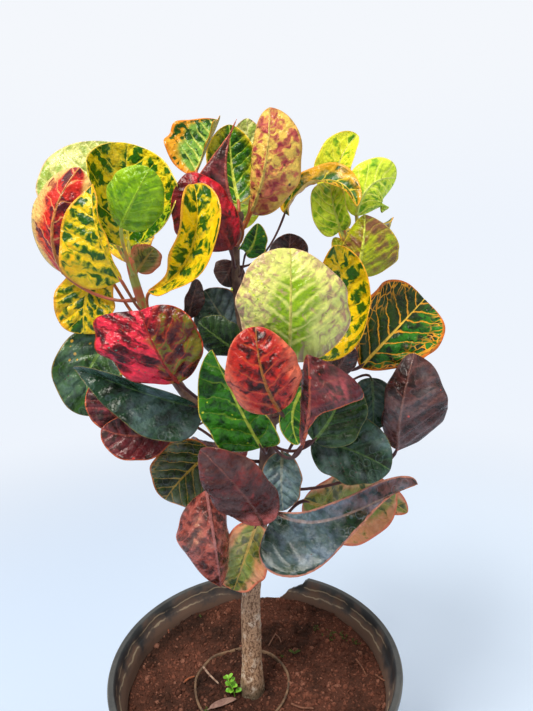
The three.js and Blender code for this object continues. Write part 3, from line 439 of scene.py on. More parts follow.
leaves = [
    leaf("left_lime_back", "left", 566, "limePale", "limePale",
         [[-106, 12, 618], [-107, 20, 642], [-99, 22, 660]], [0, -1, 0.3], [88, 34],
         shape=[[0.4, 0.4], [0.9, 0.35]], cup=10, slant=[0.5, -0.45], wave=1.2, stalk="green"),
    leaf("left_red", "left", 540, "yellowPatch", "redPurple",
         [[-125, -30, 560], [-120, -54, 594], [-102, -44, 630]], [-0.2, 1, 0], [56, 54],
         shape=[[0.5, 0.5], [0.5, 0.4]], cup=[-5, 0], fold=[0, 48], quilt=0.8, wave=1.5, stalk="red"),
    leaf("left_yellow_low", "left", 532, "yellowPatch", "yellowUnder",
         [[-77, -56, 554], [-86, -66, 582], [-91, -56, 617]], [-0.2, -1, 0.1], [58, 16],
         shape=[[0.35, 0.85], [0.6, 0.6]], cup=[25, 10], fold=[5, 30], quilt=0.6, wave=1.5, stalk="red"),
    leaf("left_yellow_cup", "left", 574, "yellowCup", "limeYellow",
         [[-81, -12, 578], [-82, -4, 616], [-77, -8, 652]], [0, -1, 0.1], [98, 108],
         shape=[[0.5, 0.5], [0.4, 0.4]], cup=[118, 45], fold=[10, 12], wave=1.5, stalk="green"),
    leaf("left_green_front", "left", 558, "greenFresh", "greenFresh",
         [[-73, -62, 589], [-58, -80, 606], [-48, -80, 622]], [0, 1, 0.2], [38, 38], shape=[0.45, 0.45],
         cup=30, quilt=0.3, wave=0.5, stalk="green"),
    leaf("left_yellow_curl", "left", 512, "yellowPatch", "brownUnder",
         [[-62, -45, 546], [-34, -58, 563], [-23, -66, 588], [-24, -62, 614]], [-0.3, -0.5, 0.8], [28, 48],
         faceTip=[-0.35, -0.95, 0.1], shape=[[1.2, 0.5], [0.8, 0.6]], cup=[10, 30], fold=[70, 0], wave=1.2,
         stalk="orange"),
    leaf("left_yellow_hang", "left", 522, "yellowPatch", "yellowUnder",
         [[-108, -6, 561], [-115, -18, 540], [-119, -16, 514]], [0, -1, 0.3], [48, 44], shape=[0.5, 0.4],
         quilt=0.8, wave=1.5, stalk="orange"),
    leaf("left_orange_small", "left", 545, "orangeGreen", "brownUnder",
         [[-80, 5, 559], [-73, 7, 569], [-67, 15, 577]], [0, -1, 0.1], [26, 26], quilt=0.3, wave=0.5,
         stalk="orange", small=True),
    leaf("centre_orange", "centre", 590, "orangeMint", "yellowUnder",
         [[-31, 20, 636], [-23, 29, 654], [-13, 38, 677]], [0, -1, 0.2], [64, 56], cup=[10, 20], fold=[5, 70],
         lobe=[0.2, 0], slant=[0.1, 0], wave=1.5, stalk="orange"),
    leaf("centre_green_cup", "centre", 600, "greenYellowRim", "limePale",
         [[2, 6, 608], [-3, 16, 638], [-3, 12, 667]], [0.1, -1, 0], [48, 48], cup=60, quilt=0.4, wave=0.5,
         stalk="orange"),
    leaf("centre_lime_back", "centre", 590, "limePale", "limePale",
         [[10, 28, 609], [10, 36, 645], [10, 32, 676]], [0, -1, 0], [40, 38], cup=30, quilt=0.3, wave=0.5,
         stalk="orange"),
    leaf("centre_maroon_horn", "centre", 578, "orangeGreen", "maroonRed",
         [[5, -25, 589], [-5, -30, 627], [4, -24, 662]], [-0.1, 1, 0.1], [56, 74], shape=[0.5, 2.4],
         fold=[80, 0], stalk="orange"),
    leaf("centre_maroon_back", "centre", 560, "greenDeep", "crimsonMaroon",
         [[-4, -30, 573], [-16, -38, 599], [-34, -34, 624]], [0, 1, -0.1], [36, 62], shape=[0.5, 0.5], cup=40,
         quilt=0.7, wave=1.2),
    leaf("centre_pink", "centre", 588, "yellowPatch", "pinkYellow",
         [[11, -12, 599], [22, -34, 626], [27, -27, 668]], [-0.1, 1, 0], [52, 34],
         shape=[[0.5, 0.45], [0.8, 0.4]], cup=[20, 40], fold=[-5, 35], quilt=0.6, stalk="orange"),
    leaf("centre_arch", "centre", 560, "archYellow", "redPurple",
         [[37, 10, 600], [50, 0, 616], [71, -14, 620], [87, -26, 600]], [0, -0.6, 0.8], [28, 30],
         shape=[[0.5, 0.6], [0.3, 0.8]], fold=[20, 10], quilt=0.4),
    leaf("centre_small_green", "centre", 552, "greenVeined", "greenDeep",
         [[6, -10, 570], [12, -25, 576], [16, -36, 590]], [0.3, -1, 0.1], [20, 20], quilt=0.4, wave=0.5,
         small=True),
    leaf("centre_dark_low", "centre", 556, "maroonRed", "purpleGrey",
         [[-4, 5, 564], [-9, 7, 555], [-15, 5, 547]], [0, 1, 0], [26, 26], quilt=0.4, wave=0.5, small=True),
    leaf("centre_brown_back", "centre", 530, "purpleGrey", "purpleGrey",
         [[41, 30, 551], [41, 32, 569], [42, 25, 585]], [0, 1, 0], [34, 34], quilt=0.4),
    leaf("right_yellow_top", "right", 572, "limeYellow", "limePale",
         [[81, 28, 610], [84, 35, 641], [99, 38, 662]], [0, -1, 0.1], [40, 36], fold=[5, 50], quilt=0.4,
         stalk="green"),
    leaf("right_yellow_low", "right", 580, "limeFresh", "yellowUnder",
         [[80, 5, 585], [74, -2, 602], [72, 5, 621]], [0.1, -1, 0.1], [40, 26], shape=[0.4, 0.5],
         fold=[5, 50], quilt=0.4, stalk="green"),
    leaf("right_lime_curl", "right", 566, "limeFresh", "limeFresh",
         [[93, 10, 596], [99, 0, 614], [125, 15, 624]], [0, 1, 0.2], [52, 36],
         shape=[[0.5, 0.5], [0.5, 0.35]], cup=30, quilt=0.4, stalk="green"),
    leaf("right_olive", "right", 532, "limeYellow", "oliveMauve",
         [[88, -14, 550], [92, -22, 571], [95, -14, 595]], [0, 1, 0], [62, 36], cup=30, fold=[0, 30],
         stalk="green"),
    leaf("right_small_left", "right", 542, "oliveMauve", "pinkYellow",
         [[84, 8, 553], [80, 3, 566], [75, 5, 580]], [0.3, -1, 0], [16, 16], quilt=0.3, wave=0.5,
         stalk="green", small=True),
    leaf("mid_lime_big", "centre", 474, "limeFresh", "limePink",
         [[34, -82, 510], [35, -92, 540], [36, -84, 571]], [0, 1, 0.1], [80, 70],
         shape=[[0.4, 0.65], [0.4, 0.45]], cup=50, fold=-15, lobe=0.35, quilt=0.8, wave=1.5),
    leaf("mid_red_round", "centre", 460, "greenDeep", "crimson",
         [[26, -92, 470], [16, -105, 498], [13, -98, 525]], [0, 1, 0.1], [48, 48], shape=[0.45, 0.5], cup=40,
         fold=-8, quilt=0.7),
    leaf("mid_orange_cup", "right", 468, "yellowPatch", "redPurple",
         [[53, -45, 495], [74, -26, 525], [69, -40, 573]], [-0.3, -1, 0.1], [50, 72], cup=[40, 80],
         fold=[10, 5], wave=1.2),
    leaf("mid_orange_veined", "right", 484, "darkVeined", "brownUnder",
         [[93, -5, 478], [120, -2, 505], [148, 12, 529]], [0, -1, 0.1], [70, 66], shape=[0.75, 0.4], cup=10,
         fold=[0, 10], pairs=7, quilt=0.8, wave=1.8),
    leaf("mid_purple_right", "trunk", 376, "darkGreen", "purpleGrey",
         [[121, -14, 412], [120, -32, 455], [131, -22, 491]], [-0.1, 1, 0], [84, 30],
         shape=[[0.2, 0.34], [0.5, 0.5]], cup=30, fold=[-5, 30], quilt=1, wave=1.5),
    leaf("mid_purple_small", "right", 476, "darkGreen", "purpleGrey",
         [[72, -15, 477], [79, -12, 487], [85, -15, 497]], [0, 1, 0], [24, 24], wave=0.5, small=True),
    leaf("mid_maroon_arch", "trunk", 418, "darkGreen", "maroonRed",
         [[40, -84, 442], [45, -96, 476], [45, -88, 505]], [0.1, 1, 0], [78, 18],
         shape=[[3.2, 0.25], [0.6, 0.5]], cup=[66, 20], fold=[-5, 40], slant=[0.55, 0], quilt=0.8, wave=1.2),
    leaf("mid_green_round", "trunk", 414, "greenDeep", "purpleGrey",
         [[52, -40, 431], [68, -38, 453], [76, -35, 478]], [0, -1, 0.1], [48, 48], cup=10, quilt=0.9,
         wave=1.2),
    leaf("mid_green_tail", "trunk", 438, "greenVeined", "maroonRed",
         [[45, -42, 472], [36, -48, 452], [40, -50, 432]], [0.2, -1, 0.1], [22, 22], wave=0.6, small=True),
    leaf("mid_dark_rim", "right", 446, "darkGreen", "maroonRed",
         [[104, 5, 467], [103, -7, 449], [102, -10, 427]], [0, -1, 0.2], [34, 34], quilt=0.6),
    leaf("mid_dark_big", "trunk", 392, "darkGreen", "purpleGrey",
         [[52, -22, 425], [80, -32, 420], [110, -36, 404]], [0, -0.8, 0.6], [56, 56], quilt=1, wave=1.5),
    leaf("mid_bright_green", "trunk", 412, "greenVeined", "maroonRed",
         [[13, -40, 427], [-4, -54, 468], [-19, -50, 504]], [-0.2, -0.95, 0.2], [56, 40],
         shape=[[0.4, 0.6], [0.4, 1.8]], cup=[25, 20], fold=[0, 10], quilt=0.9, wave=1.4),
    leaf("mid_crimson", "left", 454, "darkGreen", "crimsonOlive",
         [[-43, -58, 483], [-54, -76, 512], [-62, -72, 535]], [0, 1, 0.2], [62, 72],
         shape=[[0.5, 0.35], [0.4, 0.14]], cup=10, fold=-5, slant=[0, -0.3], quilt=1, wave=2.2),
    leaf("mid_dark_left", "left", 486, "darkYellowDots", "maroonRed",
         [[-98, 0, 508], [-117, -12, 489], [-120, -8, 447]], [0, -1, 0.2], [54, 54], quilt=0.8, wave=1.5),
    leaf("mid_long_green", "left", 442, "darkGreen", "purpleGrey",
         [[-35, -34, 459], [-68, -40, 471], [-97, -44, 484], [-121, -40, 492]], [0, -1, 0.4], [62, 34],
         shape=[[0.35, 1.1], [0.5, 0.6]], cup=[20, 10], fold=[0, 70], lobe=[0.2, 0], quilt=0.9, wave=1.5),
    leaf("mid_maroon_low", "trunk", 398, "maroonRed", "purpleGrey",
         [[-58, -18, 441], [-84, -26, 435], [-108, -30, 443]], [0, -1, 0.4], [40, 40], quilt=0.8, wave=1.2),
    leaf("mid_maroon_up", "left", 448, "maroonRed", "purpleGrey",
         [[-95, -12, 440], [-105, -21, 457], [-116, -20, 475]], [0, -1, 0.2], [30, 30], quilt=0.7),
    leaf("mid_grey_upper", "centre", 490, "greyGreen", "purpleGrey",
         [[-6, 18, 500], [-18, 22, 521], [-30, 22, 542]], [0, -1, 0.3], [46, 46], quilt=1.1, wave=1.2),
    leaf("mid_grey_strip", "left", 500, "purpleGrey", "purpleGrey",
         [[-44, 12, 519], [-39, 10, 535], [-34, 14, 551]], [0.8, -0.6, 0], [22, 22], wave=0.6, small=True),
    leaf("mid_dark_under", "centre", 480, "darkGreen", "greenDeep",
         [[-4, 0, 493], [-21, -6, 508], [-34, 0, 518]], [0, 1, 0.3], [34, 34], quilt=0.9),
    leaf("low_orange_veined", "trunk", 384, "darkFine", "brownUnder",
         [[-29, 0, 410], [-51, -8, 394], [-69, -5, 372]], [0, -1, 0.2], [58, 58], quilt=0.8, wave=1.8),
    leaf("low_purple_diag", "trunk", 362, "darkGreen", "purpleRed",
         [[12, -55, 373], [-7, -78, 417], [-28, -75, 440]], [0, 1, 0.2], [42, 50], cup=40, fold=-10, quilt=1,
         wave=1.5),
    leaf("low_red_left", "trunk", 360, "darkGreen", "redBrown",
         [[-31, -32, 391], [-25, -52, 364], [-22, -48, 319]], [0.1, 1, 0.1], [68, 44],
         shape=[[0.42, 0.8], [0.5, 0.6]], cup=30, fold=[0, 60], quilt=0.9, wave=1.4),
    leaf("low_green_orange", "trunk", 324, "orangeGreen", "brownUnder",
         [[6, -22, 356], [-3, -32, 335], [-14, -30, 304]], [0, -1, 0.1], [40, 40], shape=[0.35, 0.45],
         quilt=0.7, wave=1.6),
    leaf("low_grey_tail", "trunk", 352, "greyTail", "purpleGrey",
         [[22, -26, 368], [54, -42, 367], [90, -44, 379], [133, -30, 389]], [0, -0.9, 0.4], [26, 84],
         shape=[[0.7, 0.4], [0.4, 3]], quilt=1, wave=1.5),
    leaf("low_orange_back", "trunk", 340, "orangeGreen", "maroonRed",
         [[46, 0, 365], [82, 8, 353], [128, 20, 362]], [0, -0.9, 0.3], [62, 62], quilt=0.7, wave=1.6),
    leaf("low_orange_far", "trunk", 356, "orangeGreen", "brownUnder",
         [[72, 34, 356], [113, 46, 347], [146, 46, 327]], [0, -1, 0.2], [34, 34], quilt=0.4, wave=0.8),
    leaf("low_dark_centre", "trunk", 394, "greyGreen", "greyGreen",
         [[29, -24, 417], [27, -32, 396], [28, -30, 371]], [0, -1, 0.2], [32, 32], quilt=0.9, wave=1.2),
    leaf("back_left_high", "left", 562, "yellowPatch", "yellowUnder",
         [[-88, 12, 566], [-98, 44, 588], [-108, 78, 578]], [0, 0.3, 1], [48, 48], quilt=0.6, wave=1.5,
         stalk="red"),
    leaf("back_left_low", "left", 490, "darkGreen", "purpleGrey",
         [[-62, 16, 484], [-76, 50, 498], [-90, 86, 484]], [0, 0.3, 1], [54, 54], quilt=0.9, wave=1.5),
    leaf("back_centre_high", "centre", 570, "limeFresh", "limePink",
         [[0, 28, 590], [-6, 60, 614], [-10, 92, 612]], [0, 0.3, 1], [48, 48], quilt=0.6, wave=1.5),
    leaf("back_centre_low", "centre", 505, "greenVeined", "maroonRed",
         [[10, 42, 522], [14, 74, 536], [16, 106, 522]], [0, 0.3, 1], [52, 52], quilt=0.8, wave=1.5),
    leaf("back_right_high", "right", 556, "yellowPatch", "oliveMauve",
         [[96, 34, 570], [112, 62, 588], [122, 94, 578]], [0, 0.3, 1], [46, 46], quilt=0.6, wave=1.5,
         stalk="green"),
    leaf("back_right_low", "right", 506, "darkFine", "brownUnder",
         [[80, 24, 506], [94, 60, 520], [104, 98, 504]], [0, 0.3, 1], [54, 54], quilt=0.8, wave=1.5),
    leaf("back_middle", "trunk", 424, "greenDeep", "maroonRed",
         [[30, 40, 444], [35, 80, 456], [38, 116, 440]], [0, 0.3, 1], [56, 56], quilt=0.9, wave=1.5),
    leaf("back_low_left", "trunk", 372, "maroonRed", "purpleGrey",
         [[-14, 32, 384], [-30, 66, 394], [-48, 98, 376]], [0, 0.3, 1], [50, 50], quilt=0.8, wave=1.5),
    leaf("back_low_right", "trunk", 386, "darkVeined", "purpleGrey",
         [[40, 34, 404], [62, 66, 414], [84, 98, 396]], [0, 0.3, 1], [50, 50], quilt=0.9, wave=1.5),
]
leafMake = {
    "rows": 44, "columns": 14, "smallRows": 24, "smallColumns": 8,  # quads along a blade and across each half
    "crowd": 1.5,  # how much closer they are at the rib
    "thickness": 0.75, "margin": 0.32, "marginWide": 4, "ridge": 1.0, "ridgeTip": 0.25, "groove": 0.35,
    "lean": 0.85,  # how steeply the side veins run up the blade
    "quilt": 3.2, "roll": 1.2, "rollFrom": 0.72,  # of each row's quilting, and the margin's upward roll
    "wave": 1.5, "waves": 2.4, "uneven": 0.035,  # of each row's waving, and how far the margin strays
    "stalk": 1.25, "stalkSides": 10, "stalkSteps": 18, "clear": 0.35, "seed": 11,
    "fullWidth": 90, "leastSize": 0.6,  # blades narrower than this are thinner, down to this share
}
stems = {  # points along the middle, and the radius at the bottom and top: the same as the solid's
    "trunk": {"points": [[-4, 0, 150], [-4, 0, 190], [-3, 0, 235], [-2, 0, 274], [4, 2, 324], [11, 4, 364],
                         [17, 5, 404], [19, 5, 434], [20, 5, 452]], "radius": [9.6, 6.2]},
    "left": {"points": [[17, 5, 420], [-11, -4, 440], [-42, -14, 460], [-60, -20, 496], [-69, -24, 527],
                        [-75, -28, 554], [-77, -30, 570]], "radius": [4.6, 3.2]},
    "centre": {"points": [[20, 5, 446], [10, 6, 475], [2, 5, 506], [-2, 2, 542], [-2, 0, 573], [1, -2, 591],
                          [4, -2, 601]], "radius": [5.2, 2.8]},
    "right": {"points": [[18, 5, 430], [45, -6, 458], [72, -10, 492], [86, -6, 526], [86, 0, 551],
                         [84, 5, 570], [82, 6, 578]], "radius": [4.8, 2.8]},
}


def centripetal(points, perSpan=24):
    # a centripetal Catmull-Rom curve through the points, at even lengths
    points = np.asarray(points, float)
    ends = [2 * points[0] - points[1], *points, 2 * points[-1] - points[-2]]
    line = []
    for p0, p1, p2, p3 in zip(ends, ends[1:], ends[2:], ends[3:]):
        gaps = [max(np.linalg.norm(b - a), 1e-4) ** 0.5 for a, b in ((p0, p1), (p1, p2), (p2, p3))]
        slopeIn = ((p1 - p0) / gaps[0] - (p2 - p0) / (gaps[0] + gaps[1]) + (p2 - p1) / gaps[1]) * gaps[1]
        slopeOut = ((p2 - p1) / gaps[1] - (p3 - p1) / (gaps[1] + gaps[2]) + (p3 - p2) / gaps[2]) * gaps[1]
        t = np.linspace(0, 1, perSpan, endpoint=False)[:, None]
        line.append(p1 + slopeIn * t + (3 * (p2 - p1) - 2 * slopeIn - slopeOut) * t ** 2
                    + (2 * (p1 - p2) + slopeIn + slopeOut) * t ** 3)
    line = np.vstack([*line, points[-1:]])
    length = np.r_[0, np.cumsum(np.linalg.norm(np.diff(line, axis=0), axis=1))]
    even = np.linspace(0, length[-1], len(line))
    return np.stack([np.interp(even, length, line[:, k]) for k in range(3)], axis=1)


stemLines = {name: centripetal(stem["points"]) for name, stem in stems.items()}


def stemAt(name, height):
    line = stemLines[name]
    index = int(np.argmin(np.abs(line[:, 2] - height)))
    along = unit(line[min(index + 1, len(line) - 1)] - line[max(index - 1, 0)])
    low, high = stems[name]["radius"]
    return line[index], along, low + (high - low) * index / (len(line) - 1)


def ribCurve(points):
    # one smooth curve through the rib's points, from 0 at the blade's foot to 1 at its tip
    points = np.asarray(points, float)
    stops = np.r_[0, np.cumsum(np.linalg.norm(np.diff(points, axis=0), axis=1))]
    stops, length = stops / stops[-1], stops[-1]

    def at(s):
        s = np.atleast_1d(np.asarray(s, float))[:, None]
        place = 0
        for i, point in enumerate(points):
            weight = np.ones_like(s)
            for j, stop in enumerate(stops):
                if j != i:
                    weight = weight * (s - stop) / (stops[i] - stop)
            place = place + weight * point
        return place

    def tangent(s):
        s = np.atleast_1d(np.asarray(s, float))
        return unit(at(s + 1e-3) - at(s - 1e-3))

    return at, tangent, length


def outlineOf(s, blunt, taper):
    # how far the blade reaches at s, as a share of its widest
    widest = blunt / (blunt + taper)
    return s ** blunt * (1 - s) ** taper / (widest ** blunt * (1 - widest) ** taper)


def bladeSurface(row, rows, columns):
    # the blade's middle surface, with the pattern's numbers at each point
    m = leafMake
    ribAt, ribTangent, length = ribCurve(row["rib"])
    shapes = row["shape"] if isinstance(row["shape"][0], list) else [row["shape"]] * 2
    s = (1 - np.cos(np.pi * np.linspace(0, 1, rows + 1))) / 2
    bulge = np.sin(np.pi * s)
    middle, along = ribAt(s), ribTangent(s)
    foot, tip = np.asarray(row["face"], float), np.asarray(row["faceTip"], float)
    face = foot * (1 - s[:, None]) + tip * s[:, None]
    up = unit(face - (face * along).sum(1, keepdims=True) * along)
    across = np.cross(along, up)
    outlines = [outlineOf(s, blunt, taper) for blunt, taper in shapes]
    steps = np.linspace(-1, 1, 2 * columns + 1)
    u = np.sign(steps) * np.abs(steps) ** m["crowd"]
    points = np.zeros((rows + 1, 2 * columns + 1, 3))
    place, veins = np.zeros_like(points), np.zeros_like(points)
    edge = np.zeros(points.shape[:2])
    seed = m["seed"] * 0.37 + sum(ord(c) for c in row["name"]) % 97 * 0.61
    for j, uj in enumerate(u):
        side, far = (0 if uj < 0 else 1), abs(uj)
        half = row["wide"][side] / 2
        cup, fold, lobe, slant = (pair(row[key])[side] for key in ("cup", "fold", "lobe", "slant"))
        stray = m["uneven"] * np.sin(2 * np.pi * (2.7 * s + 1.7 * seed + 0.4 * side)) * bulge
        outline = outlines[side] * (1 + stray)
        curl, fold = math.radians(cup) / half, math.radians(fold)
        reach = far * half * outline
        if abs(curl) > 1e-6:
            out = (np.sin(fold + curl * reach) - math.sin(fold)) / curl
            lift = (math.cos(fold) - np.cos(fold + curl * reach)) / curl
        else:
            out, lift = reach * math.cos(fold), reach * math.sin(fold)
        back = lobe * half * far ** 1.6 * (1 - s) ** 3 + slant * reach
        phase = (s - m["lean"] * reach / length) * row["pairs"] + 0.5 * side + 7
        between = 0.5 - 0.5 * np.cos(2 * np.pi * phase)
        spread = np.minimum(1, far * 4) * (1 - far ** 6) * bulge ** 0.5
        quilt = m["quilt"] * row["quilt"] * (between ** 0.7 - 0.5) * spread
        roll = m["roll"] * smooth(m["rollFrom"], 1, far) * bulge ** 0.4
        turn = np.sin(2 * np.pi * (m["waves"] * s + seed + 0.35 * side))
        ripple = m["wave"] * row["wave"] * far ** 2.2 * turn * bulge ** 0.5
        raised = (lift + quilt + ripple + roll)[:, None] * up
        points[:, j] = middle + np.sign(uj) * out[:, None] * across + raised - along * back[:, None]
        place[:, j] = np.stack([np.sign(uj) * reach / 10, s * length / 10, np.full_like(s, seed)], axis=1)
        veins[:, j] = np.stack([phase, np.full_like(s, far), s], axis=1)
        edge[:, j] = np.minimum((1 - far) * half * outline + 0.6 * (1 - far), 40)
    return points, place, veins, edge, (ribAt, ribTangent)


def stitched(upper, under):
    # two sheets joined round the margin, with the foot and the tip drawn to one point each
    count = upper.shape[0] * upper.shape[1]
    index = np.arange(count).reshape(upper.shape[:2])
    centre = upper.shape[1] // 2
    index[0, :], index[-1, :] = index[0, centre], index[-1, centre]
    top = np.stack([index[:-1, :-1], index[:-1, 1:], index[1:, 1:], index[1:, :-1]], axis=-1).reshape(-1, 4)
    rim = np.concatenate([index[:, 0], index[::-1, -1][1:]])
    border = np.stack([rim[:-1], rim[1:], rim[1:] + count, rim[:-1] + count], axis=1)
    faces, slots = [], []
    for group, slot in ((top, 0), (top[:, ::-1] + count, 1), (border, 0)):
        for corners in group.tolist():
            corners = list(dict.fromkeys(corners))
            if len(corners) > 2:
                faces.append(corners)
                slots.append(slot)
    used = np.unique(np.concatenate(faces))
    fresh = {old: new for new, old in enumerate(used.tolist())}
    both = np.concatenate([upper.reshape(-1, 3), under.reshape(-1, 3)])
    return both[used], [[fresh[i] for i in corners] for corners in faces], slots, used


def sizeOf(row):
    return min(1.0, sum(row["wide"]) / leafMake["fullWidth"])


def bladeMesh(row, rows, columns):
    # the under sheet swells into the midrib's ridge
    m = leafMake
    points, place, veins, edge, rib = bladeSurface(row, rows, columns)
    tangentS, tangentU = np.gradient(points, axis=0), np.gradient(points, axis=1)
    tangentU[0], tangentU[-1] = tangentU[1], tangentU[-2]
    normal = unit(np.cross(tangentU, tangentS))
    size = sizeOf(row)
    width = np.abs(place[..., 0]) * 10
    along = veins[..., 2]
    ridge = (m["ridge"] + (m["ridgeTip"] - m["ridge"]) * along) * size
    swell = np.sqrt(np.maximum(ridge ** 2 - width ** 2, 0)) * (along < 0.97)
    thick = m["margin"] + (m["thickness"] - m["margin"]) * smooth(0, m["marginWide"], edge)
    thick = thick * max(size, m["leastSize"])
    groove = m["groove"] * size * np.exp(-(width / (1.4 * size)) ** 2) * np.sin(np.pi * along) ** 0.5
    both, faces, slots, used = stitched(points + normal * (thick / 2 - groove)[..., None],
                                        points - normal * (thick / 2 + swell)[..., None])
    numbers = {"leafPlace": place.reshape(-1, 3), "leafVein": veins.reshape(-1, 3), "leafEdge": edge.ravel()}
    return both, faces, slots, {key: np.concatenate([v, v])[used] for key, v in numbers.items()}, rib


def tubeMesh(line, radii, sides):
    # a closed round tube along a line of points
    line = np.asarray(line, float)
    along = unit(np.gradient(line, axis=0))
    side = unit(np.cross(along[0], [0.3, 0.9, 0.2]))
    turn = np.linspace(0, 2 * np.pi, sides, endpoint=False)[:, None]
    points, faces = [], []
    for place, direction, radius in zip(line, along, radii):
        side = unit(side - np.dot(side, direction) * direction)
        points.append(place + radius * (np.cos(turn) * side + np.sin(turn) * np.cross(direction, side)))
    points = np.concatenate([*points, line[:1], line[-1:]])
    last = (len(line) - 1) * sides
    for j in range(sides):
        k = (j + 1) % sides
        faces.extend([i + j, i + k, i + k + sides, i + j + sides] for i in range(0, last, sides))
        faces.extend([[k, j, len(points) - 2], [last + j, last + k, len(points) - 1]])
    return points, faces


def stalkMesh(row, rib):
    # the stalk leaves the stem's skin straight outwards and comes into the rib along it
    ribAt, ribTangent = rib
    point, direction, radius = stemAt(row["stem"], row["at"])
    foot = ribAt(0)[0]
    away = foot - point
    away = unit(away - np.dot(away, direction) * direction)
    start = point + away * (radius * 0.5 if row["small"] else radius + leafMake["clear"])
    span = np.linalg.norm(foot - start)
    lead, trail = start + away * span * 0.35, foot - ribTangent(0)[0] * span * 0.3
    t = np.linspace(0, 1, leafMake["stalkSteps"] + 1)[:, None]
    line = ((1 - t) ** 3 * start + 3 * (1 - t) ** 2 * t * lead + 3 * (1 - t) * t ** 2 * trail
            + t ** 3 * ribAt(0.06)[0])
    t = t[:, 0]
    swell = 1 + 0.45 * np.exp(-(t / 0.08) ** 2) + 0.18 * np.exp(-((t - 0.85) / 0.12) ** 2)
    radii = leafMake["stalk"] * max(sizeOf(row), leafMake["leastSize"]) * swell
    radii = radii * (1 - 0.55 * smooth(0.9, 1, t))
    return tubeMesh(line, radii, leafMake["stalkSides"])


def joined(parts):
    points, faces, start = [], [], 0
    for some, corners in parts:
        points.append(np.asarray(some, float))
        faces.extend([i + start for i in face] for face in corners)
        start += len(some)
    return np.concatenate(points), faces


def leafPiece(row):
    small = row["small"]
    keys = ("smallRows", "smallColumns") if small else ("rows", "columns")
    rows, columns = (leafMake[key] for key in keys)
    blade, bladeFaces, slots, numbers, rib = bladeMesh(row, rows, columns)
    stalk, stalkSkin = stalkMesh(row, rib)
    points, faces = joined([(blade, bladeFaces), (stalk, stalkSkin)])
    numbers = {key: np.concatenate([values, np.zeros((len(stalk),) + values.shape[1:])])
               for key, values in numbers.items()}
    materials = [leafFaces[row["upper"]], leafFaces[row["under"]], stalkFaces[row["stalk"]]]
    slots = slots + [2] * len(stalkSkin)
    piece = meshPiece("croton_" + row["name"], points, faces, materials, slots, numbers)
    cad = "stem" if small else "leaf_" + row["name"]
    settle(piece, slotOf[cad], cad)


for row in leaves:
    leafPiece(row)
print("leaves:", len(leaves))


# geometry trees
def geometryTree(name, inputs):
    # the kind of each input follows from its start value; a name starts a material or an object input
    tree = bpy.data.node_groups.new(name, "GeometryNodeTree")
    tree.interface.new_socket(name="Geometry", in_out="INPUT", socket_type="NodeSocketGeometry")
    kinds = {int: "NodeSocketInt", float: "NodeSocketFloat"}
    for key, value in {**inputs, "Material": "NodeSocketMaterial"}.items():
        kind = kinds.get(type(value), value)
        socket = tree.interface.new_socket(name=key, in_out="INPUT", socket_type=kind)
        if type(value) in kinds:
            socket.default_value = value
    tree.interface.new_socket(name="Geometry", in_out="OUTPUT", socket_type="NodeSocketGeometry")
    return tree, wires(tree.nodes.new("NodeGroupInput").outputs)


def grow(piece, tree, values):
    # runs the tree on the piece and keeps the result as its plain mesh
    modifier = piece.modifiers.new(tree.name, "NODES")
    modifier.node_group = tree
    for item in tree.interface.items_tree:
        if item.item_type == "SOCKET" and item.in_out == "INPUT" and item.name in values:
            modifier[item.identifier] = values[item.name]
    graph = bpy.context.evaluated_depsgraph_get()
    mesh = bpy.data.meshes.new_from_object(piece.evaluated_get(graph))
    piece.modifiers.clear()
    piece.data = mesh
    mesh.materials.clear()
    mesh.materials.append(values["Material"])
    mesh.polygons.foreach_set("material_index", np.zeros(len(mesh.polygons), np.int32))
    mesh.shade_smooth()


def finishTree(tree, geometry, material):
    real = wire(tree, "GeometryNodeRealizeInstances", {0: geometry})
    painted = wire(tree, "GeometryNodeSetMaterial", {"Geometry": real, "Material": material})
    feed(tree.nodes.new("NodeGroupOutput"), {"Geometry": painted})
    return tree


def moved(geometry, offset):
    return wire(geometry.tree, "GeometryNodeSetPosition", {"Geometry": geometry, "Offset": offset})


# stem
barkLook = {"wood": "#c8a284", "furrow": "#7c5a44", "lichen": "#ece0d0", "foot": "#3c3a2a",
            "young": "#4a2a26", "top": "#a8ac50", "blush": "#d06c48",
            # metres up the stem: the dark foot, the young skin, and the tips of the left and right branches,
            # each with where it lies across
            "footFrom": [0.222, 0.198], "youngFrom": [0.325, 0.41],
            "tipsFrom": [[0.475, 0.50, -0.035, -0.055], [0.51, 0.54, 0.05, 0.07]]}
stemMake = {"sides": 36, "step": 1.6, "bark": 1.1, "seed": 5.3}


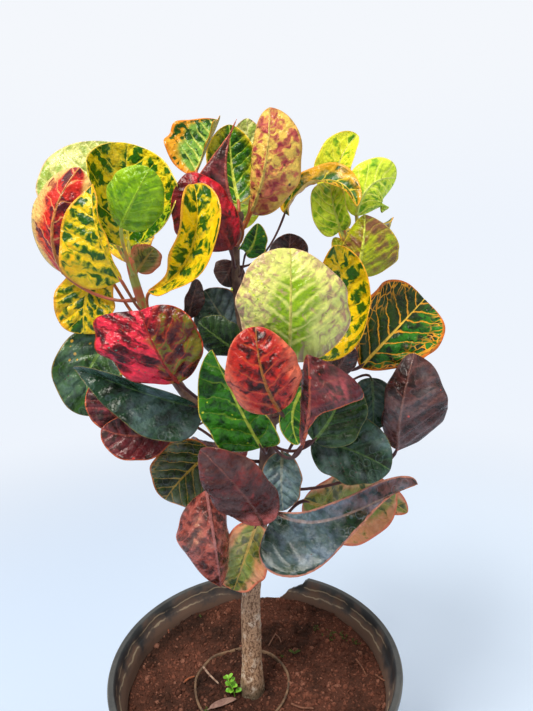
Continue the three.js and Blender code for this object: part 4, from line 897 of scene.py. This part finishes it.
def barkMaterial():
    material, shader, place = paintedMaterial("bark")
    side, _, height = xyz(place)
    stretched = wire(place.tree, "ShaderNodeMapping", {"Vector": place, "Scale": [1, 1, 0.6]})
    furrows, patches = noise(stretched, 520.0, 5.0, 0.7), noise(place, 95.0, 4.0, 0.6)
    colour = mixColour(rise(furrows, 0.42, 0.54), barkLook["furrow"], barkLook["wood"])
    colour = mixColour(rise(patches, 0.50, 0.66) * rise(furrows, 0.40, 0.62), colour, barkLook["lichen"])
    colour = mixColour(rise(height + patches * 0.03, *barkLook["footFrom"]) * 0.85, colour, barkLook["foot"])
    # young skin goes patchily towards the wood's colour, then comes the tips' green and blush
    woodier = wire(place.tree, "ShaderNodeMix", {0: 0.35, 6: barkLook["young"], 7: barkLook["wood"]}, key=2,
                   data_type="RGBA")
    youngSkin = mixColour(rise(patches, 0.35, 0.7), barkLook["young"], woodier)
    ragged = height + (patches - 0.5) * 0.06
    colour = mixColour(rise(ragged, *barkLook["youngFrom"]), colour, youngSkin)
    tips = mixColour(rise(patches, 0.42, 0.58), barkLook["top"], barkLook["blush"])
    for low, high, inner, outer in barkLook["tipsFrom"]:
        colour = mixColour(rise(ragged, low, high) * rise(side, inner, outer), colour, tips)
    finishSkin(shader, colour, rise(height, 0.33, 0.45, 0.85, 0.48), furrows, 0.5, 0.0012)
    return material


def stemTree():
    tree, given = geometryTree("growStem", {"Sides": 36, "Step": 0.002, "Bark": 0.001, "Seed": 0.0})
    curve = wire(tree, "GeometryNodeMeshToCurve", {0: given["Geometry"]})
    radius = wire(tree, "GeometryNodeInputNamedAttribute", {"Name": "stemRadius"}, data_type="FLOAT")
    even = wire(tree, "GeometryNodeResampleCurve", {"Curve": curve, "Length": given["Step"]}, mode="LENGTH")
    sized = wire(tree, "GeometryNodeSetCurveRadius", {"Curve": even, "Radius": radius})
    ring = wire(tree, "GeometryNodeCurvePrimitiveCircle", {"Resolution": given["Sides"], "Radius": 1.0})
    skin = wire(tree, "GeometryNodeCurveToMesh",
                {"Curve": sized, "Profile Curve": ring, "Fill Caps": True, "Scale": radius})
    position, normal = wire(tree, "GeometryNodeInputPosition"), wire(tree, "GeometryNodeInputNormal")
    height = xyz(position)[2]
    long = vectorMath("MULTIPLY", position, {1: [1, 1, 0.35]})
    furrow = wire(tree, "ShaderNodeTexNoise", {"Vector": long, "W": given["Seed"], "Scale": 260.0,
                                               "Detail": 3.0, "Roughness": 0.6}, noise_dimensions="4D")
    lumps = wire(tree, "ShaderNodeTexNoise", {"Vector": position, "W": given["Seed"], "Scale": 55.0,
                                              "Detail": 2.0}, noise_dimensions="4D")
    push = (furrow - 0.5) * given["Bark"] + (lumps - 0.5) * (given["Bark"] * 1.3)
    push = push * rise(height, 0.42, 0.32, 0.25, 1.0) + rise(height, 0.215, 0.180, 0.0, 0.0022)
    return finishTree(tree, moved(skin, vectorMath("SCALE", normal, {"Scale": push})), given["Material"])


def stemPiece():
    points, edges, radii = [], [], []
    for name, stem in stems.items():
        line = stemLines[name]
        start = len(points)
        points.extend(line)
        edges.extend((start + i, start + i + 1) for i in range(len(line) - 1))
        ends = smooth(0, 0.02, np.linspace(1, 0, len(line)))
        radii.extend(np.linspace(*stem["radius"], len(line)) * (0.35 + 0.65 * ends))
    radii = np.asarray(radii, np.float32) * mm
    piece = meshPiece("croton_stem", points, [], attributes={"stemRadius": radii}, edges=edges)
    grow(piece, stemTree(), {"Sides": stemMake["sides"], "Step": stemMake["step"] * mm,
                             "Bark": stemMake["bark"] * mm, "Seed": stemMake["seed"],
                             "Material": barkMaterial()})
    settle(piece, slotOf["stem"], "stem")


stemPiece()
print("stem grown")

# pot
potMake = {
    "rimRadius": 127, "height": 220, "baseRadius": 88, "wall": 2, "lip": 4, "lipHeight": 5, "bandHeight": 18,
    "bandStep": 4, "floor": 3, "sides": 240, "warp": 0.8, "drains": 6, "drainRadius": 7, "drainCircle": 64,
    "break": [[62, 222], [66, 214], [73, 206], [78, 197], [88, 196], [98, 198], [99, 222]],  # degrees, height
    "jag": 0.28, "jagSeed": 31, "sharp": 38,  # how ragged the break is, and the least sharp angle in degrees
}
potLook = {"plastic": "#2e3236", "worn": "#6c6a66", "mud": "#74594a", "dust": "#a89880", "inside": "#44484a",
           "scoredAt": [0.2125, 0.2055],
           # metres: the inner wall's slope and foot, its ledge and how far that stands out, from where the mud
           # thins out, and where the painted highlight and wear on the lip's edge and its top begin
           "innerWall": [0.145, 0.0875], "ledge": [0.2022, 0.2032], "ledgeOut": 0.0031,
           "mudFrom": [0.222, 0.188], "lipFrom": [0.1252, 0.1262], "topFrom": [0.2192, 0.2200]}


def wallRadius(z):
    top = potMake["rimRadius"] - potMake["lip"] - potMake["bandStep"]
    return potMake["baseRadius"] + (top - potMake["baseRadius"]) * z / potMake["height"]


def plasticMaterial():
    material, shader, place = paintedMaterial("pot_plastic")
    x, y, z = xyz(place)
    flat = reachOf(x, y)
    cloud = noise(place, 38.0, 5.0, 0.6)
    squeezed = wire(place.tree, "ShaderNodeMapping", {"Vector": place, "Scale": [1, 1, 9]})
    scuff = noise(squeezed, 60.0, 6.0, 0.7)
    colour = mixColour(rise(cloud, 0.35, 0.7), potLook["plastic"], potLook["inside"])
    # splashed soil clings to the inside, thickest just above the soil and on the ledge
    slope, foot = potLook["innerWall"]
    wallAt = z * slope + foot + rise(z, *potLook["ledge"], 0.0, potLook["ledgeOut"])
    insideWall = rise(wallAt - flat, 0.0004, 0.0012)
    mud = insideWall * rise(rise(z, *potLook["mudFrom"]) * 0.42 + cloud, 0.50, 0.80)
    colour = mixColour(mud * 0.85, colour, potLook["mud"])
    swayed = z + (noise(place, 26.0, 3.0, 0.6) - 0.5) * 0.014
    scores = [rise(abs(swayed - at), 0.0009, 0.0002) for at in potLook["scoredAt"]]
    line = calc("MAXIMUM", *scores) * rise(cloud, 0.42, 0.54)
    colour = mixColour(line * insideWall * 0.9, colour, potLook["dust"])
    # the lip's outer edge and top get a pale painted highlight, ragged like wear, and the rest is scratched
    lip = calc("MAXIMUM", rise(flat, *potLook["lipFrom"]), rise(z, *potLook["topFrom"], 0.0, 0.35))
    for worn in (lip * rise(scuff, 0.30, 0.55) * 0.7, rise(scuff, 0.62, 0.74) * 0.3):
        colour = mixColour(worn, colour, potLook["worn"])
    roughness = rise(cloud, 0.3, 0.7, 0.34, 0.5) + mud * 0.4
    finishSkin(shader, colour, roughness, scuff + mud * 0.6, 0.35, 0.0008)
    return material


def shove(position, scale, detail, amount):
    # how far noise pushes each point its own way
    inputs = {"Vector": position, "Scale": scale, "Detail": detail}
    bent = wire(position.tree, "ShaderNodeTexNoise", inputs, "Color")
    return vectorMath("SCALE", vectorMath("SUBTRACT", bent, {1: [0.5, 0.5, 0.5]}), {"Scale": amount})


def together(shapes):
    join = shapes[0].tree.nodes.new("GeometryNodeJoinGeometry")
    for shape in shapes:
        feed(join, {0: shape})
    return Wire(join.outputs[0])


def potTree():
    # the profile turned round the axis and warped, with the broken piece and the drain holes cut out
    tree, given = geometryTree("turnPot", {
        "Sides": 240, "Warp": 0.001, "Break": "NodeSocketObject", "Drains": 6, "Drain Radius": 0.007,
        "Drain Circle": 0.06})
    profile = wire(tree, "GeometryNodeMeshToCurve", {0: given["Geometry"]})
    rail = wire(tree, "GeometryNodeCurvePrimitiveCircle", {"Resolution": given["Sides"], "Radius": 0.00001})
    turned = wire(tree, "GeometryNodeCurveToMesh", {"Curve": rail, "Profile Curve": profile})
    outward = wire(tree, "GeometryNodeFlipFaces", {0: turned})
    closed = wire(tree, "GeometryNodeMergeByDistance", {"Geometry": outward, "Distance": 0.0001})
    position = wire(tree, "GeometryNodeInputPosition")
    amount = given["Warp"] * rise(xyz(position)[2], 0.05, 0.22)
    warped = moved(closed, shove(position, 11.0, 2.0, amount))
    circle = wire(tree, "GeometryNodeMeshCircle", {"Vertices": given["Drains"],
                                                   "Radius": given["Drain Circle"]})
    drill = wire(tree, "GeometryNodeMeshCylinder", {"Vertices": 32, "Radius": given["Drain Radius"],
                                                    "Depth": 0.02})
    drills = wire(tree, "GeometryNodeInstanceOnPoints", {"Points": circle, "Instance": drill})
    broken = wire(tree, "GeometryNodeObjectInfo", {0: given["Break"]}, "Geometry")
    cutters = together([wire(tree, "GeometryNodeRealizeInstances", {0: drills}), broken])
    cut = wire(tree, "GeometryNodeMeshBoolean", {0: warped, 1: cutters}, operation="DIFFERENCE")
    return finishTree(tree, cut, given["Material"])


def potProfile():
    # out along the floor, up the wall, round the lip and down the inside, in small steps; a profile's Y turns
    # into the pot's -Z
    base, wall, floor, step, out, top, lip, lipHeight, bandHeight = (potMake[key] for key in (
        "baseRadius", "wall", "floor", "bandStep", "rimRadius", "height", "lip", "lipHeight", "bandHeight"))
    band, under, low = top - bandHeight, out - lip, top - lipHeight
    ring = wallRadius(band)
    corners = [
        [0.01, 0], [base - 3, 0], [base - 0.8, 0.6], [base, 3], [ring, band - 0.5], [ring + 0.6, band + 0.4],
        [ring + step - 0.5, band + step - 0.5], [ring + step + 0.1, band + step + 1], [under, low],
        [out - 1, low], [out - 0.2, low + 0.6], [out, top - 2], [out - 0.5, top - 0.6], [out - 1.4, top],
        [under - wall + 1, top - 0.1], [under - wall, top - 1], [ring + step - wall, band + step + wall],
        [ring + step - wall - 0.8, band + step + 0.8], [ring - wall, band - 0.5], [base - wall, floor + 2],
        [base - wall - 2, floor], [0.01, floor],
    ]
    points = []
    for (r0, z0), (r1, z1) in zip(corners, corners[1:]):
        steps = max(1, int(round(math.hypot(r1 - r0, z1 - z0) / 5)))
        points.extend([r0 + (r1 - r0) * k / steps, -z0 - (z1 - z0) * k / steps, 0] for k in range(steps))
    return points + [[corners[-1][0], -corners[-1][1], 0]]


def breakCutter():
    # a block that follows the rim round and takes out what is above the ragged broken edge
    draw = np.random.default_rng(potMake["jagSeed"])
    edge = []
    for (angle, z), (nextAngle, nextZ) in zip(potMake["break"], potMake["break"][1:]):
        steps = max(2, int(math.hypot((nextAngle - angle) * 2.2, nextZ - z) / 1.6))
        for k in range(steps):
            along = k / steps
            jag = draw.normal(0, potMake["jag"], 2)
            turn = angle + (nextAngle - angle) * along + jag[0] * 0.3
            edge.append([turn, z + (nextZ - z) * along + jag[1]])
    edge.append(potMake["break"][-1])
    inner, outer, top = potMake["baseRadius"], potMake["rimRadius"] + 10, potMake["height"] + 10
    points, faces = [], []
    for angle, z in edge:
        c, s = math.cos(math.radians(angle)), math.sin(math.radians(angle))
        for radius, height in ((inner, z), (outer, z), (outer, top), (inner, top)):
            points.append([radius * c, radius * s, height])
    last = 4 * (len(edge) - 1)
    for a in range(0, last, 4):
        faces.extend([a + k, a + (k + 1) % 4, a + 4 + (k + 1) % 4, a + 4 + k] for k in range(4))
    faces += [[0, 3, 2, 1], [last, last + 1, last + 2, last + 3]]
    return meshPiece("breakCutter", points, [face[::-1] for face in faces])


def potPiece():
    m, profile = potMake, potProfile()
    piece = meshPiece("croton_pot", profile, [], edges=[(i, i + 1) for i in range(len(profile) - 1)])
    cutter = breakCutter()
    grow(piece, potTree(), {"Sides": m["sides"], "Warp": m["warp"] * mm, "Break": cutter,
                            "Drains": m["drains"], "Drain Radius": m["drainRadius"] * mm,
                            "Drain Circle": m["drainCircle"] * mm, "Material": plasticMaterial()})
    bpy.data.objects.remove(cutter)
    piece.data.set_sharp_from_angle(angle=math.radians(m["sharp"]))
    settle(piece, slotOf["pot"], "pot")


potPiece()
print("pot turned")

# soil
soilMake = {
    "middle": 184, "bank": 8, "tilt": 5, "tiltTowards": 75, "clod": 1.2, "rings": 70, "turns": 180,
    "crumbDensity": 110000, "crumb": 1.3, "clumpDensity": 22000, "clump": 2.6, "stoneDensity": 1800,
    "stone": 3.8,
    "lumps": 4.6, "seed": 7, "below": [120, 60], "lift": 0.4,  # heights of the rings under it, over the floor
}
soilLook = {"red": "#8a5442", "dark": "#442a20", "pale": "#a87460"}
ringMake = {"x": -14, "y": 5, "radius": 43, "wall": 1.6, "top": 187, "bottom": 172, "sides": 160,
            "clear": 2.2}


def potInside(z):
    band = potMake["height"] - potMake["bandHeight"]
    along = (z - potMake["floor"]) / (band - potMake["floor"])
    return potMake["baseRadius"] + (wallRadius(band) - potMake["baseRadius"]) * along - potMake["wall"]


def soilHeight(x, y):
    edge = potInside(soilMake["middle"])
    turn = math.radians(soilMake["tiltTowards"])
    out = np.hypot(x, y) / edge
    uphill = (x * math.cos(turn) + y * math.sin(turn)) / edge
    clods = np.sin(x * 0.13 + y * 0.05) * np.cos(y * 0.11 - x * 0.04) * np.minimum(1, out * 1.5)
    level = soilMake["middle"] + soilMake["bank"] * out ** 2 + soilMake["tilt"] * uphill
    return level + soilMake["clod"] * clods


def soilMaterial():
    material, shader, place = paintedMaterial("soil")
    tone = attribute(place.tree, "crumbTone", "Fac")
    damp, fine = noise(place, 24.0, 4.0, 0.6), noise(place, 620.0, 4.0, 0.7)
    colour = mixColour(rise(damp, 0.38, 0.66), soilLook["red"], soilLook["dark"])
    colour = mixColour(rise(tone, 0.86, 0.97) * 0.6, colour, soilLook["pale"])
    # painted shade: darker inside the buried ring, as in a hollow, and darker still on the bare ground between
    # the crumbs, whose tone is 0; each crumb in its own tone
    x, y, _ = xyz(place)
    fromRing = reachOf(x - ringMake["x"] * mm, y - ringMake["y"] * mm)
    inRing = rise(fromRing, (ringMake["radius"] + 1) * mm, (ringMake["radius"] - 5) * mm, 1.0, 0.7)
    colour = mixColour(inRing * rise(tone, 0.0, 1.0, 0.45, 1.25), black, colour)
    # pale specks on the fine grain's raised spots, and painted shade in its low spots, where the bump sinks
    colour = mixColour(rise(fine, 0.58, 0.74) * 0.4, colour, soilLook["pale"])
    colour = mixColour(rise(fine, 0.5, 0.36) * 0.8, colour, soilLook["dark"])
    finishSkin(shader, colour, 0.95, fine, 0.9, 0.0016)
    feed(shader, {"Specular IOR Level": 0.25})
    return material


def anyBetween(low, high, seed):
    inputs = {0: low, 1: high, "Seed": seed}
    return wire(seed.tree, "FunctionNodeRandomValue", inputs, data_type="FLOAT_VECTOR")


def scatterTree():
    # ragged crumbs in three sizes strewn over the top of the soil, which itself is lumpy
    tree, given = geometryTree("strewSoil", {
        "Crumb Density": 1.0, "Crumb": 0.001, "Clump Density": 1.0, "Clump": 0.002, "Stone Density": 1.0,
        "Stone": 0.003, "Lumps": 0.002, "Seed": 1})
    position = wire(tree, "GeometryNodeInputPosition")
    top = wire(tree, "GeometryNodeInputNamedAttribute", {"Name": "soilTop"}, data_type="FLOAT")
    lift = (noise(position, 95.0, 5.0, 0.62) - 0.5) * given["Lumps"] * top
    ground = moved(given["Geometry"], wire(tree, "ShaderNodeCombineXYZ", {2: lift * 2.0}))
    shapes = [ground]
    for index, (kind, detail) in enumerate((("Crumb", 1), ("Clump", 1), ("Stone", 2))):
        size, seed = given[kind], given["Seed"] + float(index * 10)
        points = wire(tree, "GeometryNodeDistributePointsOnFaces", {
            "Mesh": ground, "Density": given[kind + " Density"] * top, "Seed": seed}, "Points")
        ball = wire(tree, "GeometryNodeMeshIcoSphere", {"Radius": size, "Subdivisions": detail})
        placed = wire(tree, "GeometryNodeInstanceOnPoints", {
            "Points": points, "Instance": moved(ball, shove(position, 380.0 + 90.0 * index, 1.0, size * 1.6)),
            "Rotation": anyBetween([0, 0, 0], [6.28, 6.28, 6.28], seed),
            "Scale": anyBetween([0.35, 0.35, 0.3], [1.25, 1.25, 1.0], seed)})
        tone = wire(tree, "FunctionNodeRandomValue", {"Seed": seed + 3.0}, 1, data_type="FLOAT")
        shapes.append(wire(tree, "GeometryNodeStoreNamedAttribute", {
            "Geometry": placed, "Name": "crumbTone", "Value": tone}, data_type="FLOAT", domain="INSTANCE"))
    return finishTree(tree, together(shapes), given["Material"])


def soilPiece():
    m, count, low = soilMake, soilMake["turns"], potMake["floor"] + soilMake["lift"]
    turns = np.linspace(0, 2 * np.pi, count, endpoint=False)
    c, s = np.cos(turns), np.sin(turns)
    edge = np.full(count, potInside(m["middle"]))
    for _ in range(3):
        edge = potInside(soilHeight(edge * c, edge * s)) - 0.2
    points = []
    for ring in range(1, m["rings"] + 1):
        radius = edge * ring / m["rings"]
        points.append(np.stack([radius * c, radius * s, soilHeight(radius * c, radius * s)], axis=1))
    for z in (*m["below"], low):
        radius = potInside(z) - 0.4
        points.append(np.stack([radius * c, radius * s, np.full(count, z)], axis=1))
    last = (len(points) - 1) * count
    points = np.concatenate([*points, [[0, 0, soilHeight(0, 0)]], [[0, 0, low]]])
    top = np.zeros(len(points))
    top[:(m["rings"] - 1) * count], top[-2] = 1, 1
    faces = []  # in this order, as the crumbs are drawn face by face
    for j in range(count):
        k = (j + 1) % count
        faces.append([j, k, len(points) - 2])
        faces.extend([i + j, i + count + j, i + count + k, i + k] for i in range(0, last, count))
        faces.append([last + k, last + j, len(points) - 1])
    piece = meshPiece("croton_soil", points, faces, attributes={"soilTop": top})
    values = {kind.title() + " Density": m[kind + "Density"] for kind in ("crumb", "clump", "stone")}
    values.update({kind.title(): m[kind] * mm for kind in ("crumb", "clump", "stone", "lumps")})
    grow(piece, scatterTree(), {**values, "Seed": m["seed"], "Material": soilMaterial()})
    settle(piece, slotOf["soil"], "soil")


soilPiece()
print("soil strewn")


# the buried rim of the small pot
def plainMaterial(name, first, second, scale, roughness):
    material, shader, place = paintedMaterial(name)
    cloud = noise(place, scale, 4.0, 0.65)
    colour = mixColour(rise(cloud, 0.35, 0.65), first, second)
    dull = rise(cloud, 0.3, 0.7, roughness - 0.08, min(roughness + 0.08, 1.0))
    finishSkin(shader, colour, dull, noise(place, scale * 6, 3.0, 0.6), 0.5, 0.0006)
    return material


def ringPiece():
    m = ringMake
    inner, outer, bottom, top = m["radius"] - m["wall"], m["radius"], m["bottom"], m["top"]
    profile = [[inner, bottom], [outer - 0.3, bottom], [outer, bottom + 0.5], [outer, top - 1.2],
               [outer + 0.4, top - 0.8], [outer + 0.3, top - 0.2], [outer - 0.4, top], [inner + 0.3, top],
               [inner, top - 0.4]]
    points = []
    for j in range(m["sides"]):
        turn = 2 * np.pi * j / m["sides"]
        bend = 1 + 0.012 * math.sin(3 * turn + 1) + 0.006 * math.sin(7 * turn)
        dip = 0.6 * math.sin(2 * turn + 0.6) + 0.35 * math.sin(9 * turn)
        for r, z in profile:
            x, y = m["x"] + r * bend * math.cos(turn), m["y"] + r * bend * math.sin(turn)
            points.append([x, y, z + dip + soilHeight(x, y) + m["clear"] - top])
    n = len(profile)
    faces = [[j + k, (j + n) % len(points) + k, (j + n) % len(points) + (k + 1) % n, j + (k + 1) % n]
             for j in range(0, len(points), n) for k in range(n)]
    piece = meshPiece("croton_ring", points, faces,
                      [plainMaterial("ring_plastic", "#4c3a2e", "#86684e", 90.0, 0.7)])
    settle(piece, slotOf["nursery_ring"], "nursery_ring")


ringPiece()


# what grows and lies on the soil
def smallBlade(base, tip, up, width, curl=12, thickness=0.3, rows=8, columns=3, shape=(0.6, 0.5)):
    base, tip, up = (np.asarray(v, float) for v in (base, tip, up))
    bow = (base + tip) / 2 + unit(up) * np.linalg.norm(tip - base) * 0.08
    row = leaf("blade", None, 0, None, None, [base, bow, tip], up, [width, width], shape, curl, quilt=0,
               wave=0)
    grid = bladeSurface(row, rows, columns)[0]
    normal = unit(np.cross(np.gradient(grid, axis=1), np.gradient(grid, axis=0) + 1e-9))
    normal[0], normal[-1] = normal[1], normal[-2]
    return stitched(grid + normal * thickness / 2, grid - normal * thickness / 2)[:2]


seedlingMake = {"root": [-20, -6, 176], "top": [-25, -4, 199], "stem": 0.6, "leaf": 4.3, "pairs": 6}


def seedlingPiece():
    m = seedlingMake
    above = np.array([*m["root"][:2], soilMake["middle"] + 2])
    line = centripetal([m["root"], above, m["top"]], 8)
    parts = [tubeMesh(line, np.full(len(line), m["stem"]), 6)]
    for i in range(m["pairs"]):
        along = i / (m["pairs"] - 1)
        base = above + (np.asarray(m["top"]) - above) * (0.1 + 0.9 * along)
        for side in (0, np.pi):
            turn = 1.35 * i + side
            out = np.array([math.cos(turn), math.sin(turn), 0.35 + 0.5 * along])
            reach = m["leaf"] * (1.45 - 0.5 * along)
            parts.append(tubeMesh([base, base + out * reach * 0.35], [0.25, 0.22], 5))
            parts.append(smallBlade(base + out * reach * 0.3, base + out * reach * 1.15, [0, -0.25, 1],
                                    m["leaf"] * (1 - 0.35 * along), shape=(0.5, 0.45)))
    paint = plainMaterial("seedling", "#6fb52c", "#8fca40", 120.0, 0.45)
    piece = meshPiece("croton_seedling", *joined(parts), [paint])
    settle(piece, slotOf["weed_seedling"], "weed_seedling")


def dryLeafPiece():
    z = max(soilHeight(-40, -20), soilHeight(-19, -13)) + 1.6
    parts = [smallBlade([-41, -20, z], [-18, -12, z + 0.8], [0, -0.2, 1], 6.5, curl=-38, thickness=0.5,
                        rows=18, columns=5, shape=(0.7, 0.8)),
             tubeMesh([[-47, -23, z - 1], [-40, -20, z]], [0.45, 0.6], 6)]
    paint = plainMaterial("dry_leaf", "#7a5850", "#9c7c70", 210.0, 0.85)
    piece = meshPiece("croton_dry_leaf", *joined(parts), [paint])
    settle(piece, slotOf["dry_leaf"], "dry_leaf")


litter = {  # twigs and roots that lie on the soil: points across it, radius at both ends, and colour
    "twig_pale": ([[-51, 25], [-43, 15], [-35, 7]], [1.1, 0.7], "#b79a86"),
    "twig_orange": ([[-67, 6], [-62, 11], [-58, 14]], [0.9, 0.8], "#b06038"),
    "root_loop": ([[-90, 64], [-92, 76], [-86, 86], [-80, 84]], [0.8, 0.5], "#a8583a"),
    "twig_v_left": ([[11, 49], [15, 57], [18, 64]], [0.7, 0.5], "#7a5444"),
    "twig_v_right": ([[18, 64], [22, 57], [24, 50]], [0.7, 0.5], "#7a5444"),
    "twig_right": ([[93, 22], [97, 11], [99, 2]], [0.9, 0.5], "#9a6248"),
    "twig_far": ([[107, 3], [111, -5], [115, -9]], [0.8, 0.5], "#9a6248"),
    "twig_front": ([[30, -18], [38, -24], [49, -25]], [0.8, 0.6], "#8a5c46"),
    "root_front": ([[-70, -42], [-60, -50], [-46, -52]], [0.7, 0.4], "#8c5a40"),
}


def litterPieces():
    for name, (points, radius, colour) in litter.items():
        line = centripetal([[x, y, 0] for x, y in points], 10)
        arch = 1.2 + 0.8 * np.sin(np.linspace(0, 3.1, len(line)))
        line[:, 2] = soilHeight(line[:, 0], line[:, 1]) + arch
        paint = plainMaterial(name, colour, "#6a4638", 260.0, 0.85)
        piece = meshPiece("croton_" + name, *tubeMesh(line, np.linspace(*radius, len(line)), 9), [paint])
        settle(piece, "bark")


moss = {"spots": [[-62, 90, 6], [73, 54, 8], [96, 42, 6], [86, 52, 5], [24, 34, 3], [-43, -22, 4],
                  [60, 66, 4]],
        "blades": 16, "reach": 2.2, "seed": 19}  # middle of each tuft, and how far it spreads


def mossPiece():
    draw = np.random.default_rng(moss["seed"])
    parts = []
    for x, y, spread in moss["spots"]:
        for _ in range(int(moss["blades"] * spread / 6)):
            bx, by = x + draw.normal(0, spread / 2.2), y + draw.normal(0, spread / 2.2)
            if math.hypot(bx, by) > potInside(186) - 4:
                continue
            base = np.array([bx, by, float(soilHeight(bx, by)) + 0.4])
            turn, tilt = draw.uniform(0, 6.28), draw.uniform(0.3, 1.1)
            out = np.array([math.cos(turn) * math.sin(tilt), math.sin(turn) * math.sin(tilt), math.cos(tilt)])
            parts.append(smallBlade(base, base + out * moss["reach"] * draw.uniform(0.6, 1.3), [0, -0.4, 1],
                                    draw.uniform(0.7, 1.4), rows=3, columns=1, thickness=0.2))
    leafAt = [36, 37, float(soilHeight(36, 37)) + 1.4]
    for turn in (0.2, 2.8):
        tip = [leafAt[0] + 6 * math.cos(turn), leafAt[1] + 6 * math.sin(turn), leafAt[2] + 2]
        parts.append(smallBlade(leafAt, tip, [0, -0.2, 1], 2.4, rows=6, columns=2))
    paint = plainMaterial("moss", "#5c6a24", "#3a4a1c", 300.0, 0.8)
    piece = meshPiece("croton_moss", *joined(parts), [paint])
    settle(piece, "seedling")


seedlingPiece()
dryLeafPiece()
litterPieces()
mossPiece()
print("small growth and litter placed")

# stage, in metres but for the camera and the floor
view = {"place": [19, -420, 565], "pitch": 10.2, "roll": 2.0, "lens": 27.04}  # mm, degrees, mm of 36 mm wide
light = {"sky": "#fbf9f4", "skyTop": 0.9, "skySide": 0.28, "skyLow": 0.08,
         "key": [[-0.55, -0.75, 1.75], 0.5, 24.0, [1.0, 0.96, 0.88]],  # place, size, power and colour
         "fill": [[1.2, -0.9, 0.9], 1.4, 2.6, [1.0, 0.98, 0.95]], "aim": [0, 0, 0.45],
         # the floor: darker and bluer towards the left as painted shade, and the lift, a faint painted bluish
         # glow
         "floorLeft": "#cbdbf2", "floorRight": "#dcebff", "floorSize": 60000, "fade": [0.45, 1.5],
         "horizon": "#eef4fd", "backdrop": "#f4f7fc", "lift": "#bcd8ff", "liftStrength": 0.07}


def shownBy(tree, output, mask, lit, shown):
    # one shader lights the scene, and the camera sees the other where the mask lets it
    blend = wire(tree, "ShaderNodeMixShader", {0: mask, 1: Wire(lit.outputs[0]), 2: shown})
    feed(tree.nodes[output], {"Surface": blend})


def stageFloor():
    # a wide pale floor: near the pot it takes the light, and far off it fades into the sky's tone
    size = light["floorSize"]
    material, shader, place = paintedMaterial("floor")
    tree = place.tree
    x, y, _ = xyz(place)
    # painted shade: the floor darker and bluer towards the left
    tone = mixColour(rise(x, -0.35, 0.45), light["floorLeft"], light["floorRight"])
    seen = wire(tree, "ShaderNodeLightPath", key="Is Camera Ray")
    # the lift is a faint painted glow of the floor, which also lights the plant a little
    feed(shader, {"Base Color": tone, "Emission Color": light["lift"], "Roughness": 0.9,
                  "Emission Strength": light["liftStrength"], "Specular IOR Level": 0.1})
    glow = wire(tree, "ShaderNodeEmission", {"Color": light["horizon"]})
    shownBy(tree, "Material Output", rise(reachOf(x, y), *light["fade"]) * seen, shader, glow)
    corners = [[-size, -size, 0], [size, -size, 0], [size, size, 0], [-size, size, 0]]
    meshPiece("floor", corners, [[0, 1, 2, 3]], [material])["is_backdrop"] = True


def skyWorld():
    # the light from above and around, and a pale backdrop that only the camera sees
    sky = bpy.data.worlds.new("sky")
    sky.use_nodes = True
    tree = sky.node_tree
    lit = tree.nodes["Background"]
    height = xyz(wire(tree, "ShaderNodeTexCoord", key="Generated"))[2]
    low = rise(height, -0.3, 0.15, light["skyLow"], light["skySide"])
    high = rise(height, 0.15, 0.8, 0.0, light["skyTop"] - light["skySide"])
    feed(lit, {"Color": light["sky"], "Strength": low + high})
    tone = mixColour(rise(height, 0.0, 0.35), light["horizon"], light["backdrop"])
    seen = wire(tree, "ShaderNodeLightPath", key="Is Camera Ray")
    shownBy(tree, "World Output", seen, lit, wire(tree, "ShaderNodeBackground", {"Color": tone}))
    bpy.context.scene.world = sky


def areaLight(name):
    place, size, power, colour = light[name]
    lamp = bpy.data.lights.new(name, "AREA")
    lamp.size, lamp.energy, lamp.color = size, power, colour
    holder = bpy.data.objects.new(name, lamp)
    holder.location = place
    aim = Vector(light["aim"]) - Vector(place)
    holder.rotation_euler = aim.to_track_quat("-Z", "Y").to_euler()
    bpy.context.scene.collection.objects.link(holder)


def stageCamera():
    lens = bpy.data.cameras.new("camera")
    lens.sensor_fit, lens.sensor_width, lens.lens = "AUTO", 36.0, view["lens"]
    lens.clip_start = 0.01
    camera = bpy.data.objects.new("camera", lens)
    pitch = Matrix.Rotation(math.radians(90 - view["pitch"]), 4, "X")
    turn = pitch @ Matrix.Rotation(math.radians(-view["roll"]), 4, "Z")
    camera.matrix_world = Matrix.Translation(Vector(view["place"]) * mm) @ turn
    bpy.context.scene.collection.objects.link(camera)
    bpy.context.scene.camera = camera


stageFloor()
stageCamera()
areaLight("key")
areaLight("fill")
skyWorld()
bpy.context.scene.view_settings.view_transform = "Standard"
print("stage set")

dressedBounds = [list(corner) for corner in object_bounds()]
